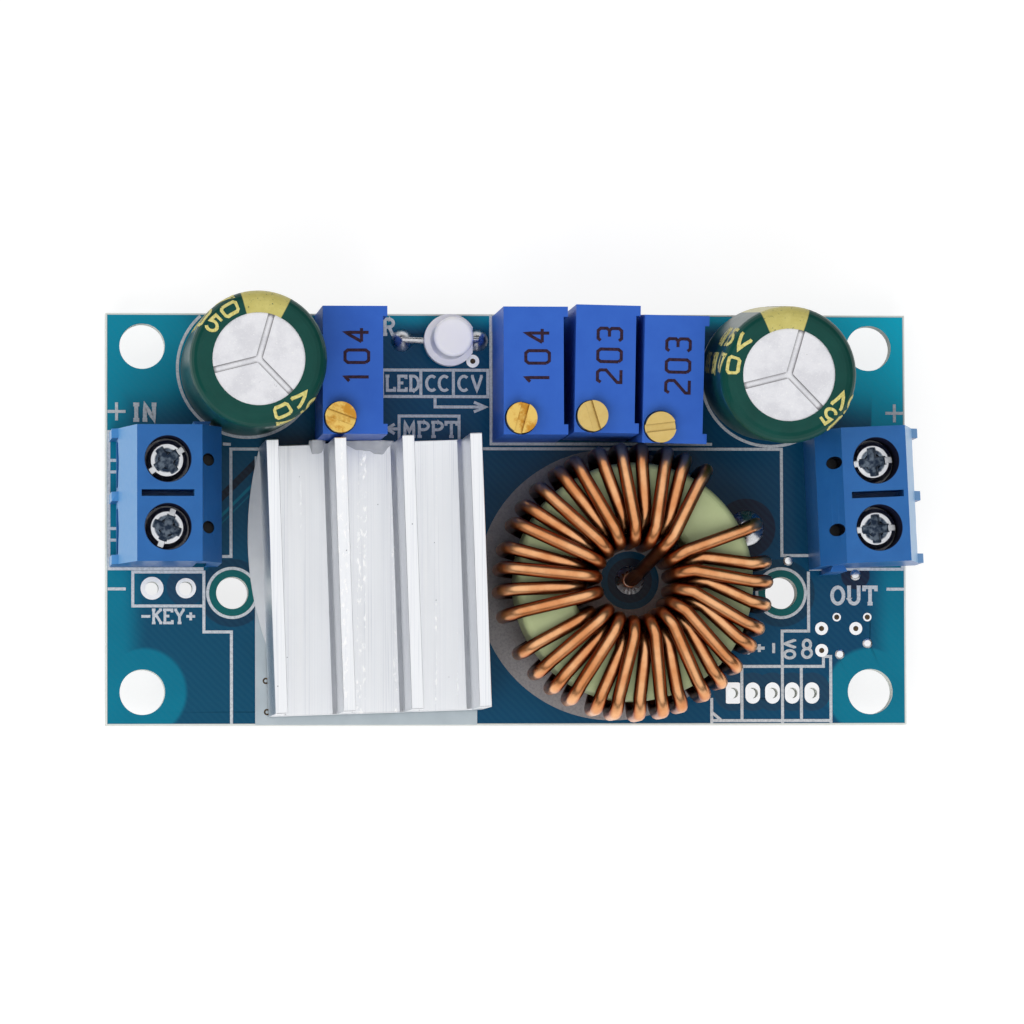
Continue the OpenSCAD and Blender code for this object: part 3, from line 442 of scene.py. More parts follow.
# Enamelled copper wire with painted light: a painted highlight where it faces away from the core, painted
# shade in deep brown where turns face each other
def winding_paint():
    paint = Paint("winding_copper", Metallic=1.0, Coat_Weight=0.12, Coat_Roughness=0.25)
    x, y, z = paint.split(paint.spot())
    offset = paint.offset(x, y, COIL_AT)
    side = paint.math("SUBTRACT", paint.vector("LENGTH", offset), (CORE_ID + CORE_OD) / 4)
    above = paint.math("SUBTRACT", z, CORE_Z + CORE_H / 2)
    side, above = paint.math("POWER", side, 3.0), paint.math("POWER", above, 3.0)
    outward = paint.vector("MULTIPLY", paint.vector("NORMALIZE", offset), paint.join(side, side, side))
    outward = paint.vector("NORMALIZE", paint.vector("ADD", outward, paint.join(0.0, 0.0, above)))
    painted_light_share = paint.vector("DOT_PRODUCT", outward, paint.normal)
    # The leads at the two pads get the painted highlight too
    for pad in (COIL_PAD, CENTRE_PAD):
        lead = paint.math("MULTIPLY", paint.step(paint.away(x, y, pad), 0.7, 0.6), 0.85)
        painted_light_share = paint.either(painted_light_share, lead)
    # Painted shade: deep brown on the flanks of the turns
    shaded_flank = paint.mix(paint.step(painted_light_share, 0.1, 0.7), tint(86, 33, 12), tint(174, 92, 46))
    blush = paint.step(paint.noise(0.45, 6, 0.6), 0.3, 0.7)
    bright = paint.mix(blush, tint(220, 144, 90), tint(250, 190, 138))
    # Painted highlight: bright copper where the wire faces away from the core
    paint.set("Base_Color", paint.mix(paint.step(painted_light_share, 0.55, 1.0), shaded_flank, bright))
    paint.set("Roughness", paint.range(paint.noise(3.0, 6), 0.3, 0.38))
    paint.set("Normal", paint.bump(paint.noise(2.4, 5), 0.08, 0.03))
    return paint.material


# Painted powder core, chipped here and there
def core_paint():
    paint = moulded("core_powder", (196, 206, 158), (176, 188, 136), 0.42, 3.0, 0.3)
    chips = paint.step(paint.noise(1.3, 7, 0.75), 0.7, 0.78)
    paint.set("Base_Color", paint.mix(chips, paint.fed("Base_Color"), tint(120, 128, 92)))
    return paint.material


# Thin clear adhesive: milky white and partly see-through, in uneven patches
def film_paint():
    paint = moulded("adhesive_film", (250, 251, 253), (226, 230, 237), 0.18, 2.0, 0.9, 0.8)
    paint.set("Alpha", 0.62)
    return paint.material


# Printed ink: speckled, with small losses
def ink_paint(name, colour, shade, rough):
    paint = Paint(name, Specular_IOR_Level=0.3)
    speckle = paint.step(paint.noise(5.0, 6, 0.7), 0.35, 0.6)
    paint.set("Base_Color", paint.mix(speckle, tint(*shade), tint(*colour)))
    paint.set("Roughness", paint.range(paint.noise(4.0, 4), rough - 0.1, rough + 0.1))
    paint.set("Normal", paint.bump(paint.noise(6.0, 5), 0.3, 0.02))
    return paint.material


PAINTS = {
    "board": board_paint(),
    # The last colour of each terminal is its painted sheen
    "input_terminal": terminal_paint("input", INPUT_WELLS, INPUT_PROBES, -1, tint(80, 150, 210)),
    "output_terminal": terminal_paint("output", OUTPUT_WELLS, OUTPUT_PROBES, 1, tint(140, 190, 236)),
    "clamp": metal("clamp_steel", (200, 200, 204), (150, 150, 156), 0.35).material,
    "screw": screw_paint(),
    "can": can_paint(),
    "input_sleeve": sleeve_paint("input_sleeve_film", INPUT_CAP, (0.0, -0.0244), (-15, 28)),
    "output_sleeve": sleeve_paint("output_sleeve_film", OUTPUT_CAP, (-0.0241, -0.0764), (-23, 18)),
    "bung": moulded("bung_rubber", (40, 40, 42), (26, 26, 28), 0.7).material,
    "trimmer": moulded("trimmer_plastic", (58, 108, 204), (48, 94, 190), 0.42, 5.0, 0.35, 0.18).material,
    "brass": brass_paint(),
    "tin": metal("tinned_lead", (228, 228, 230), (176, 178, 184), 0.24).material,
    "lens": milky(moulded("lens_plastic", (247, 246, 251), (238, 236, 246), 0.22, 4.0, 0.05),
                  0.3, 0.5, 0.5, 0.6),
    "heatsink": heatsink_paint(),
    "adhesive": milky(moulded("adhesive", (236, 238, 240), (212, 216, 220), 0.5, 1.5, 0.5),
                      0.3, 1.0, 1.0, 1.0),
    "core": core_paint(),
    "winding": winding_paint(),
    "package": moulded("package_plastic", (46, 46, 48), (30, 30, 32), 0.55, 8.0, 0.5).material,
    "resistor": moulded("resistor_ceramic", (36, 36, 40), (22, 22, 26), 0.3).material,
    "capacitor": moulded("capacitor_ceramic", (186, 156, 116), (158, 128, 90), 0.4).material,
    "silk": ink_paint("silk_ink", (214, 218, 222), (186, 192, 198), 0.55),
    # The disc's white ink is painted grey: painted shade under the coil
    "disc": ink_paint("silk_disc_ink", (154, 152, 154), (136, 134, 137), 0.6),
    "gold": ink_paint("sleeve_ink", (224, 214, 138), (196, 184, 100), 0.45),
    "sleeve_dark": ink_paint("sleeve_dark_ink", (16, 40, 30), (24, 52, 40), 0.3),
    "plated": metal("plated_copper", (253, 253, 254), (242, 243, 246), 0.3).material,
    "solder": metal("solder_bright", (246, 246, 248), (214, 216, 220), 0.26).material,
    "tinned": metal("tinned_area", (206, 216, 222), (188, 200, 206), 0.42, (0.3, 0.3, 0.3), 0.3).material,
    # Dark brown of the via holes: painted shade of the narrow holes
    "drilled": ink_paint("drilled_wall", (96, 80, 58), (46, 40, 34), 0.7),
    "film": film_paint(),
    "burn": ink_paint("burnt_mark", (40, 26, 40), (64, 40, 60), 0.8),
}


# Finish for each solid of the part, by what its name ends or begins with
def paint_key(name):
    if name.endswith("terminal_housing"):
        return name.replace("_housing", "")
    if name.endswith("_sleeve"):
        return name.split("_")[0] + "_sleeve"
    endings = {"circuit_board": "board", "clamps": "clamp", "plate": "clamp", "trimmer_screw": "brass",
               "_screw": "screw", "_can": "can", "_bung": "bung", "trimmer_housing": "trimmer",
               "lens": "lens", "heatsink": "heatsink", "adhesive": "adhesive", "core": "core",
               "winding": "winding", "chip_capacitors": "capacitor", "resistor": "resistor",
               "resistors": "resistor", "_body": "package"}
    return next((key for ending, key in endings.items() if name.endswith(ending)), "tin")


# Small worn rounding on hard edges
ROUND_MM = {"terminal_housing": 0.12, "trimmer_housing": 0.14, "heatsink": 0.07, "circuit_board": 0.04,
            "_screw": 0.06, "_clamps": 0.05, "_plate": 0.05, "_body": 0.06, "chip_resistors": 0.04,
            "chip_capacitors": 0.06, "lens": 0.06}
SAME_POINT = 0.000001
SHARP_EDGE = math.radians(40)


def dress(name):
    obj = nodes[name]
    obj.data.materials.clear()
    obj.data.materials.append(PAINTS[paint_key(name)])
    width = next((mm for ending, mm in ROUND_MM.items() if name.endswith(ending)), 0)
    if width:
        weld = obj.modifiers.new("join", "WELD")
        weld.merge_threshold = SAME_POINT
        bevel = obj.modifiers.new("edge", "BEVEL")
        bevel.width = width * MM
        bevel.segments = 2
        bevel.limit_method = "ANGLE"
        bevel.angle_limit = SHARP_EDGE


# Solids gathered into one piece, in millimetres
LAYERS, LAYER_STEP = 9, 0.0015


class Heap:
    def __init__(self):
        self.points = []
        self.faces = []
        self.layer = 0

    # A hair higher each time, so that crossing prints share no face
    def lift(self):
        self.layer = (self.layer + 1) % LAYERS
        return self.layer * LAYER_STEP

    def add(self, points, faces):
        base = len(self.points)
        self.points += points
        self.faces += [[base + i for i in face] for face in faces]

    def piece(self, name, paint, smooth=False):
        mesh = bpy.data.meshes.new(name)
        mesh.from_pydata([Vector(p) * MM for p in self.points], [], self.faces)
        mesh.materials.append(PAINTS[paint])
        outward = bmesh.new()
        outward.from_mesh(mesh)
        bmesh.ops.recalc_face_normals(outward, faces=outward.faces)
        outward.to_mesh(mesh)
        outward.free()
        for face in mesh.polygons:
            face.use_smooth = smooth
        obj = put(name, mesh)
        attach(obj, "board")
        return obj


# Place on the board's top: u and v in plan, h above the mask
def on_board(u, v, h):
    return (u, v, BOARD_T + h)


def under_board(u, v, h):
    return (u, v, -h)


# Band of an even width along a line, with mitred corners
def ribbon(heap, line, width, place=on_board, rise=INK, sink=0.01, closed=False):
    count = len(line)
    points = []
    rise += heap.lift()
    for i, at in enumerate(line):
        at = Vector(at)
        back = at - Vector(line[i - 1]) if i or closed else None
        ahead = Vector(line[(i + 1) % count]) - at if i + 1 < count or closed else None
        back = (back or ahead).normalized()
        ahead = (ahead or back).normalized()
        middle = (back + ahead).normalized()
        reach = width / 2 / max(middle.dot(back), 0.5)
        side = Vector((-middle.y, middle.x)) * reach
        left, right = at + side, at - side
        points += [place(*left, rise), place(*right, rise), place(*right, -sink), place(*left, -sink)]
    faces = []
    for i in range(count if closed else count - 1):
        j = (i + 1) % count
        faces += [[4 * i + k, 4 * i + (k + 1) % 4, 4 * j + (k + 1) % 4, 4 * j + k] for k in range(4)]
    if not closed:
        last = 4 * (count - 1)
        faces += [[3, 2, 1, 0], [last, last + 1, last + 2, last + 3]]
    heap.add(points, faces)


# Flat patch with a given outline, counter-clockwise
def patch(heap, outline, place=on_board, rise=INK, sink=0.01):
    count = len(outline)
    rise += heap.lift()
    points = [place(*p, rise) for p in outline] + [place(*p, -sink) for p in outline]
    faces = [list(range(count)), list(range(2 * count - 1, count - 1, -1))]
    faces += [[i + count, (i + 1) % count + count, (i + 1) % count, i] for i in range(count)]
    heap.add(points, faces)


# Flat area between an outline and a hole in it with as many points
def washer(heap, outline, hole, place=on_board, rise=INK, sink=0.01):
    count = len(outline)
    rise += heap.lift()
    points = []
    for edge, height in ((outline, rise), (hole, rise), (hole, -sink), (outline, -sink)):
        points += [place(*p, height) for p in edge]
    faces = []
    for i in range(count):
        j = (i + 1) % count
        for row in range(4):
            a, b = row * count, (row + 1) % 4 * count
            faces.append([a + i, a + j, b + j, b + i])
    heap.add(points, faces)


def circle(centre, radius, count=48, squeeze=1):
    return [(centre[0] + radius * math.cos(math.tau * i / count),
             centre[1] + squeeze * radius * math.sin(math.tau * i / count)) for i in range(count)]


# Domed ring or button of solder: heights at the radii given from the outside in
def button(heap, centre, profile, place=on_board, count=40, squeeze=1):
    points = []
    for radius, height in profile:
        points += [place(*p, height) for p in circle(centre, radius, count, squeeze)]
    faces = []
    for row in range(len(profile) - 1):
        for i in range(count):
            j = (i + 1) % count
            faces.append([row * count + i, row * count + j, (row + 1) * count + j, (row + 1) * count + i])
    last = (len(profile) - 1) * count
    faces.append(list(range(last, last + count)))
    faces.append(list(range(count - 1, -1, -1)))
    heap.add(points, faces)


# Strokes of the plain serif letters, on a field seven wide and ten high
FIELD = (7, 10)


def bow(cx, cy, rx, ry, start, end, count=12):
    turns = [math.radians(start + (end - start) * i / count) for i in range(count + 1)]
    return [(cx + rx * math.cos(t), cy + ry * math.sin(t)) for t in turns]


def stem(x):
    return [(x, 0), (x, FIELD[1])]


def bar(y, start, end):
    return [(start, y), (end, y)]


P_BOWL = bar(10, 0, 3.6) + bow(3.6, 7.4, 2.8, 2.6, 90, -90) + [(1.2, 4.8)]
GLYPHS = {
    "+": [bar(5, 0.5, 6.5), [(3.5, 2), (3.5, 8)]],
    "-": [bar(5, 0.5, 6.5)],
    "I": [stem(3.5), bar(0, 2, 5), bar(10, 2, 5)],
    "N": [[(1.2, 0), (1.2, 10), (5.8, 0), (5.8, 10)], bar(0, 0, 2.4), bar(10, 4.6, 7)],
    "O": [bow(3.5, 5, 3, 5, 0, 360, 24)],
    "U": [[(1, 10), (1, 3.4)] + bow(3.5, 3.4, 2.5, 3.4, 180, 360) + [(6, 10)], bar(10, 0, 2), bar(10, 5, 7)],
    "T": [stem(3.5), [(0.4, 7.6), (0.4, 10), (6.6, 10), (6.6, 7.6)], bar(0, 2.2, 4.8)],
    "K": [stem(1.2), [(5.8, 10), (1.2, 4.4)], [(2.8, 6.2), (6, 0)], bar(0, 0, 2.4),
          bar(10, 0, 2.4), bar(10, 4.8, 6.8), bar(0, 5, 7)],
    "E": [stem(1.2), [(0, 10), (6, 10), (6, 8)], [(0, 0), (6.2, 0), (6.2, 2.2)], bar(5.2, 1.2, 4.2)],
    "Y": [[(0.8, 10), (3.5, 5), (6.2, 10)], [(3.5, 5), (3.5, 0)], bar(0, 2.2, 4.8),
          bar(10, 0, 1.8), bar(10, 5.2, 7)],
    "L": [[(1.4, 10), (1.4, 0), (6.4, 0), (6.4, 2.4)], bar(10, 0.2, 2.8)],
    "D": [stem(1.2), bar(0, 0, 2.8) + bow(2.8, 5, 3.6, 5, -90, 90) + [(0, 10)]],
    "C": [bow(3.8, 5, 3.2, 5, 50, 310, 20)],
    "V": [[(0.6, 10), (3.5, 0), (6.4, 10)], bar(10, 0, 1.6), bar(10, 5.4, 7)],
    "M": [[(1, 0), (1, 10), (3.5, 3.5), (6, 10), (6, 0)], bar(0, 0, 2), bar(0, 5, 7)],
    "P": [stem(1.2), P_BOWL, bar(0, 0, 2.6)],
    "R": [stem(1.2), P_BOWL, bar(0, 0, 2.6), [(3.8, 4.8), (5.8, 0), (7, 0)]],
    "0": [[(0.8, 1.2), (0.8, 8.8), (1.8, 10), (5.2, 10), (6.2, 8.8), (6.2, 1.2), (5.2, 0), (1.8, 0),
           (0.8, 1.2)]],
    "1": [[(1.8, 8.2), (3.6, 10), (3.6, 0)]],
    "2": [[(0.9, 8.6), (1.8, 10), (5.2, 10), (6.2, 8.9), (6.2, 6.4), (0.9, 1.6), (0.9, 0), (6.3, 0)]],
    "3": [[(0.9, 8.9), (1.8, 10), (5.2, 10), (6.2, 8.9), (6.2, 6.2), (5.2, 5.2), (6.2, 4.2), (6.2, 1.1),
           (5.2, 0), (1.8, 0), (0.9, 1.1)], bar(5.2, 2.6, 5.2)],
    "4": [[(4.8, 0), (4.8, 10), (0.8, 3)], bar(3, 0.8, 6.6)],
    "5": [[(5.8, 10), (1.6, 10), (1.2, 5.6)] + bow(3.5, 3.2, 2.8, 3.2, 125, -150)],
    "7": [[(0.8, 10), (6.2, 10), (2.8, 0)]],
    "8": [bow(3.5, 2.6, 2.8, 2.6, 0, 360, 20), bow(3.5, 7.5, 2.3, 2.5, 0, 360, 20)],
}


# Word from its lower left corner: size of a letter, pitch and turn in plan
def word(heap, text, at, size, pitch, stroke, turn=0, place=on_board, rise=INK):
    c, s = math.cos(math.radians(turn)), math.sin(math.radians(turn))
    for i, letter in enumerate(text):
        for line in GLYPHS.get(letter, []):
            spots = [(x / FIELD[0] * size[0] + i * pitch, y / FIELD[1] * size[1]) for x, y in line]
            spots = [(at[0] + c * x - s * y, at[1] + s * x + c * y) for x, y in spots]
            ribbon(heap, finer(spots), stroke, place, rise)


# The same line with more points, so that it can follow a curved face
def finer(line, most=0.4):
    out = [line[0]]
    for start, end in zip(line, line[1:]):
        parts = max(1, math.ceil(math.dist(start, end) / most))
        out += [tuple(a + (b - a) * k / parts for a, b in zip(start, end)) for k in range(1, parts + 1)]
    return out


# Tilt by an angle in degrees toward a plan direction
def lean(angle, toward):
    return Matrix.Rotation(math.radians(angle), 4, Vector((-toward[1], toward[0], 0)))


# Printed lines on the board
LINE = 0.22


def silk_lines():
    heap = Heap()
    runs = [
        [(-1.21, 15.44), (-1.21, 5.7), (15.55, 5.7)],
        [(-1.82, 5.33), (20.82, 5.33), (20.82, -2.71), (23.42, -2.71)],
        [(-21.43, 5.65), (-20.84, 5.62)],
        [(-17.6, 5.27), (-20.84, 5.27), (-20.84, -2.81), (-21.5, -2.81)],
        [(-22.88, -6.53), (-22.88, -8.48), (-20.82, -8.48), (-20.82, -15.4)],
        [(17.79, -11.09), (23.94, -11.09), (23.94, -10.34), (24.49, -10.34), (24.49, -15.4)],
        [(15.43, -15.18), (24.57, -15.18)],
        [(15.43, -13.47), (15.43, -15.4)],
        [(17.73, -11.1), (17.73, -15.1)],
        [(22.83, -3.93), (22.83, -8.42), (20.81, -8.42), (20.81, -15.4)],
        [(22.25, -11.2), (22.25, -15.1)],
        [(15.5, -14.6), (16.2, -15.2)],
        [(-6.51, 9.26), (-6.51, 11.26)],
        [(-4.05, 9.26), (-4.05, 11.26)],
        [(-5.44, 9.23), (-5.44, 8.48), (-1.81, 8.48)],
        [(-8.16, 5.6), (-8.16, 7.79), (-3.63, 7.79), (-3.63, 5.6)],
        [(-8.92, 6.81), (-8.2, 6.81)],
        [(20.16, -9.33), (20.16, -10.09)],
    ]
    for x in (-30.0, 30.0):
        inner = x - math.copysign(7.1, x)
        runs.append([(inner, 6.56), (x, 6.56), (x, -3.74), (inner, -3.74)])
        runs += [[(x, y), (x - math.copysign(1.0, x), y)] for y in (4.4, 3.53, -0.72, -1.59)]
    for run in runs:
        ribbon(heap, run, LINE)
    for x0, y0, x1, y1 in ((-9.4, 9.26, -1.45, 11.26), (-28.21, -6.53, -22.88, -3.98)):
        ribbon(heap, [(x0, y0), (x1, y0), (x1, y1), (x0, y1)], LINE, closed=True)
    for tip, dx in (((-1.6, 8.48), -0.9), ((-9.1, 6.81), 0.6)):
        ribbon(heap, [(tip[0] + dx, tip[1] + 0.36), tip, (tip[0] + dx, tip[1] - 0.36)], LINE)
    for x in (-29.42, 29.46):
        ribbon(heap, [(x - 0.68, 8.08), (x + 0.68, 8.08)], LINE)
        ribbon(heap, [(x, 7.4), (x, 8.76)], LINE)
        ribbon(heap, [(x - 0.68, -5.25), (x + 0.68, -5.25)], LINE)
    for hole in INNER_HOLES:
        ribbon(heap, circle(hole, 1.85, 72), LINE, closed=True)
    for centre, start, end in (((-19.6, 11.4), 132, 408), ((20.0, 10.8), 121, 419)):
        ribbon(heap, bow(*centre, 5.25, 5.25, start, end, 72), LINE)
    ribbon(heap, [(-5.9, 13.0), (-5.9, 14.0), (-5.1, 13.5), (-5.9, 13.0)], 0.16)
    ribbon(heap, [(-5.1, 13.0), (-5.1, 14.0)], 0.16)
    heap.piece("silk_lines", "silk")


def silk_words():
    heap = Heap()
    word(heap, "IN", (-28.46, 7.45), (1.04, 1.16), 0.99, 0.29)
    word(heap, "OUT", (24.55, -6.35), (1.02, 1.24), 1.23, 0.27)
    word(heap, "-KEY+", (-27.62, -7.8), (0.78, 0.98), 0.84, 0.2)
    word(heap, "LED", (-9.2, 9.72), (0.78, 1.08), 0.9, 0.22)
    word(heap, "CC", (-6.15, 9.72), (0.86, 1.08), 0.95, 0.22)
    word(heap, "CV", (-3.72, 9.72), (0.86, 1.08), 1.02, 0.22)
    word(heap, "MPPT", (-7.85, 6.24), (0.92, 1.08), 1.06, 0.22)
    word(heap, "R", (-9.35, 13.95), (0.85, 1.15), 1.0, 0.24)
    word(heap, "+", (18.6, -10.2), (0.94, 0.98), 1.0, 0.23)
    word(heap, "VO", (20.98, -9.05), (0.66, 0.78), 0.8, 0.22, -90)
    word(heap, "8", (22.26, -10.42), (0.86, 1.32), 1.0, 0.22)
    patch(heap, circle((18.24, -10.05), 0.14, 16))
    heap.piece("silk_words", "silk")


# White printed disc under the coil, painted grey as painted shade from the coil above it, and the tinned
# copper that carries the heatsink
def floor_areas():
    heap = Heap()
    washer(heap, circle((7.91, -4.92), 10.23, 120), circle(CENTRE_PAD, 2.2, 120), rise=0.012)
    heap.piece("silk_disc", "disc")
    heap = Heap()
    patch(heap, [(-19.04, -15.46), (-2.33, -15.46), (-2.33, 4.72), (-19.04, 4.72)], rise=COPPER)
    heap.piece("tinned_area", "tinned")


# Tinned pads, plated vias and the solder that shows on top
SMALL_VIAS = [(24.97, -7.37), (27.3, -7.37)]
AREA_VIAS = [(-18.24, -12.16), (-18.15, -14.5)]
LARGE_VIAS = [(23.81, -8.23), (26.42, -8.23), (23.81, -9.89), (-2.58, 11.94)]
FILLED_VIAS = [(27.3, -9.35), (25.19, -10.18), (21.29, -3.1)]
VIA_R = 0.2


# Oval with straight sides, from its half width and half height
def capsule(centre, wide, high, count=40):
    shift = high - wide
    return [(x, y + (shift if y >= centre[1] else -shift)) for x, y in circle(centre, wide, count)]


# Rectangle with as many points as a circle, so that a round hole fits in it
def square(centre, wide, high, count=40):
    out = []
    for x, y in circle((0, 0), 1, count):
        reach = max(abs(x) / wide, abs(y) / high)
        out.append((centre[0] + x / reach, centre[1] + y / reach))
    return out


def pads(name, place):
    heap = Heap()
    for hole, reach in zip(KEY_HOLES, (0.86, 0.76)):
        washer(heap, circle(hole, reach), circle(hole, 0.5), place, COPPER)
    for i, hole in enumerate(HEADER_HOLES):
        outline = capsule(hole, 0.56, 0.8) if i else square(hole, 0.54, 0.8)
        washer(heap, outline, circle(hole, 0.4, 40), place, COPPER)
    for vias, reach in ((SMALL_VIAS, 0.32), (LARGE_VIAS, 0.49)):
        for via in vias:
            washer(heap, circle(via, reach, 28), circle(via, VIA_R, 28), place, COPPER)
    for via in FILLED_VIAS:
        button(heap, via, [(0.38, -0.01), (0.36, 0.04), (0.25, 0.1), (0.1, 0.12)], place, 28)
    heap.piece(name, "plated")
    # Dark discs and rings in the via holes: painted shade of the holes
    heap = Heap()
    for via in SMALL_VIAS + LARGE_VIAS:
        patch(heap, circle(via, VIA_R + 0.02, 28), place, 0.004)
    for via in AREA_VIAS:
        washer(heap, circle(via, 0.24, 28), circle(via, 0.12, 28), place, COPPER + 0.016)
    heap.piece(name.replace("pads", "drilled"), "drilled")


def top_solder():
    heap = Heap()
    for pad, reach in ((COIL_PAD, 1.36), (CENTRE_PAD, 1.1)):
        foot = [(reach, -0.01), (reach - 0.04, 0.05), (reach - 0.25, 0.2)]
        button(heap, pad, foot + [(0.62, 0.55), (0.5, 0.62)])
    for pad in LED_PADS:
        button(heap, pad, [(0.85, -0.01), (0.82, 0.06), (0.6, 0.3), (0.34, 0.6), (0.16, 0.72)])
    button(heap, OUT_PAD, [(0.43, -0.01), (0.4, 0.06), (0.25, 0.14), (0.1, 0.17)])
    heap.piece("top_solder", "solder", smooth=True)


# Smear of clear adhesive between the heatsink's end and the trimmer behind it, beside the fin there
FILM_SPANS = [(-15.1, -13.85), (-12.7, -8.75)]
FILM_BACK, SINK_BASE = 5.78, 1.6


def glue_film(columns=32, rows=6):
    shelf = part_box("heatsink_adhesive")[1][2] / MM + SINK_BASE
    heap = Heap()
    for start, end in FILM_SPANS:
        points = []
        for i in range(columns + 1):
            x = start + (end - start) * i / columns
            wave = 0.7 * math.sin(1.3 * x + 1.6) + 0.2 * math.sin(3.7 * x) + 0.1 * math.sin(9.1 * x)
            fade = min(1, 4 * min(i, columns - i) / columns + 0.2)
            tall, deep = (0.55 + 0.35 * wave) * fade, (0.75 + 0.3 * wave) * fade
            points += [(x, FILM_BACK - deep * j / rows, shelf + 0.04 + tall * (1 - j / rows) ** 2)
                       for j in range(rows + 1)]
        span = rows + 1
        heap.add(points, [[i * span + j, i * span + j + 1, (i + 1) * span + j + 1, (i + 1) * span + j]
                          for i in range(columns) for j in range(rows)])
    film = heap.piece("glue_film", "film", smooth=True)
    film.modifiers.new("thick", "SOLIDIFY").thickness = 0.04 * MM


# Tinned caps on both ends of every chip of a node
def chip_ends(name, share=0.2, grow=0.012):
    work = bmesh.new()
    work.from_mesh(nodes[name].data)
    bmesh.ops.remove_doubles(work, verts=work.verts, dist=SAME_POINT)
    left = set(work.verts)
    heap = Heap()
    while left:
        chain = [left.pop()]
        chip = []
        while chain:
            vertex = chain.pop()
            chip.append(nodes[name].matrix_world @ vertex.co / MM)
            near = {edge.other_vert(vertex) for edge in vertex.link_edges} & left
            left -= near
            chain += near
        low = Vector([min(spot[k] for spot in chip) - grow for k in range(3)])
        high = Vector([max(spot[k] for spot in chip) + grow for k in range(3)])
        along = 0 if high.x - low.x > high.y - low.y else 1
        cap = (high[along] - low[along]) * share
        for end in (low[along], high[along] - cap):
            first, last = low.copy(), high.copy()
            first[along], last[along] = end, end + cap
            block(heap, first, last)
    work.free()
    heap.piece(name + "_ends", "solder")


def block(heap, low, high):
    points = [(x, y, z) for x in (low[0], high[0]) for y in (low[1], high[1]) for z in (low[2], high[2])]
    heap.add(points, [[0, 1, 3, 2], [4, 6, 7, 5], [0, 4, 5, 1], [2, 3, 7, 6], [0, 2, 6, 4], [1, 5, 7, 3]])


# Trimmer values marked on the tops. For each: place, turn, tilt and value
TRIM_H, TRIM_L, TRIM_W = 10.0, 9.5, 4.8
TRIMMERS = {"mppt": ((-12.14, 10.56), 0, 0, "104"), "lamp": ((1.28, 10.55), 0, 0, "104"),
            "current": ((6.62, 10.68), -1.2, 0, "203"), "voltage": ((11.68, 10.62), -1.2, 4.2, "203")}


def trimmer_marks():
    for name, (at, turn, tilt, text) in TRIMMERS.items():
        t = math.radians(turn)
        rise = math.sin(math.radians(tilt)) * (TRIM_L * math.cos(t) + TRIM_W * abs(math.sin(t))) / 2
        stand = (Matrix.Translation((at[0], at[1], BOARD_T + rise)) @ lean(tilt, (0, -1))
                 @ Matrix.Rotation(t, 4, "Z"))
        heap = Heap()
        word(heap, text, (1.0, -1.15), (1.2, 1.75), 1.55, 0.23, 90,
             lambda u, v, h: tuple(stand @ Vector((u, v, TRIM_H + h))), 0.012)
        heap.piece(name + "_trimmer_mark", "burn")


# Prints on the capacitor sleeves, which follow the rounded rim
CAP_R, RIM_R, RIM_Z, RIM_ROUND = 5.05, 3.98, 15.1, 1.07
PRINT_PITCH, PRINT_START = 1.3, 0.55
MINUS_SIGNS = (3.8, 6.8, 9.8, 12.8)

# Place, tilt, direction it leans, middle of the stripe, and words with their bearings, clockwise from +Y
CAPS = {
    "input": (INPUT_CAP, 1.4, (0.0, -1.0), 6,
              (("470 35V 105", 300), ("105 470", 322), ("35V 470 35V", 125), ("470", 148))),
    "output": (OUTPUT_CAP, 4.6, (-0.301, -0.954), -3,
               (("105 35V 470", 272), ("470 35V", 296), ("35V 105", 128), ("105 470 35V", 108))),
}


def sleeve_marks():
    for name, (at, tilt, toward, stripe, prints) in CAPS.items():
        stand = (Matrix.Translation((*at, BOARD_T + math.sin(math.radians(tilt)) * CAP_R + 0.02))
                 @ lean(tilt, toward))

        def on_sleeve(u, v, h):
            arc = RIM_ROUND * math.pi / 2
            bend = min(max(v / RIM_ROUND, 0), math.pi / 2)
            drop = max(v - arc, 0)
            radius = RIM_R + min(v, 0) + (RIM_ROUND + h) * math.sin(bend)
            height = RIM_Z + (RIM_ROUND + h) * math.cos(bend) - drop
            bearing = u / CAP_R
            return tuple(stand @ Vector((radius * math.sin(bearing), radius * math.cos(bearing), height)))

        heap = Heap()
        for text, bearing in prints:
            start = (math.radians(bearing) * CAP_R, PRINT_PITCH * len(text) - PRINT_START)
            word(heap, text, start, (1.05, 1.35), PRINT_PITCH, 0.26, -90, on_sleeve, 0.012)
        heap.piece(name + "_sleeve_print", "gold")
        heap = Heap()
        middle = math.radians(stripe) * CAP_R
        for v in MINUS_SIGNS:
            ribbon(heap, finer([(middle, v - 0.7), (middle, v + 0.7)]), 0.55, on_sleeve, 0.012)
        heap.piece(name + "_sleeve_minus", "sleeve_dark")


# Coil wire: the same path as the solid, with finer bends
TURNS = 32
BEND_R = CORE_ROUND + WIRE_GAP + WIRE_R
COIL_IN = CORE_ID / 2 - WIRE_GAP - WIRE_R
COIL_SECOND = COIL_IN - 2 * WIRE_R - 2 * SKIN_GAP
COIL_OUT = CORE_OD / 2 + WIRE_SLACK + WIRE_R
COIL_LOW = CORE_Z - WIRE_GAP - WIRE_R
COIL_HIGH = CORE_Z + CORE_H + WIRE_GAP + WIRE_R
LEAD_DROP = 2.5

# Where the turns lie, in degrees: the span, a wider gap after some turns, unevenness and slant
FIRST_TURN, LAST_TURN, END_TURN = 57, 360.3, 31.2
GAP_AFTER, GAP_ANGLE = 15, 9
UNEVEN, UNEVEN_STEP = 0.8, 137
FIRST_SLANT, SLANT_CHANGE = 6, 17


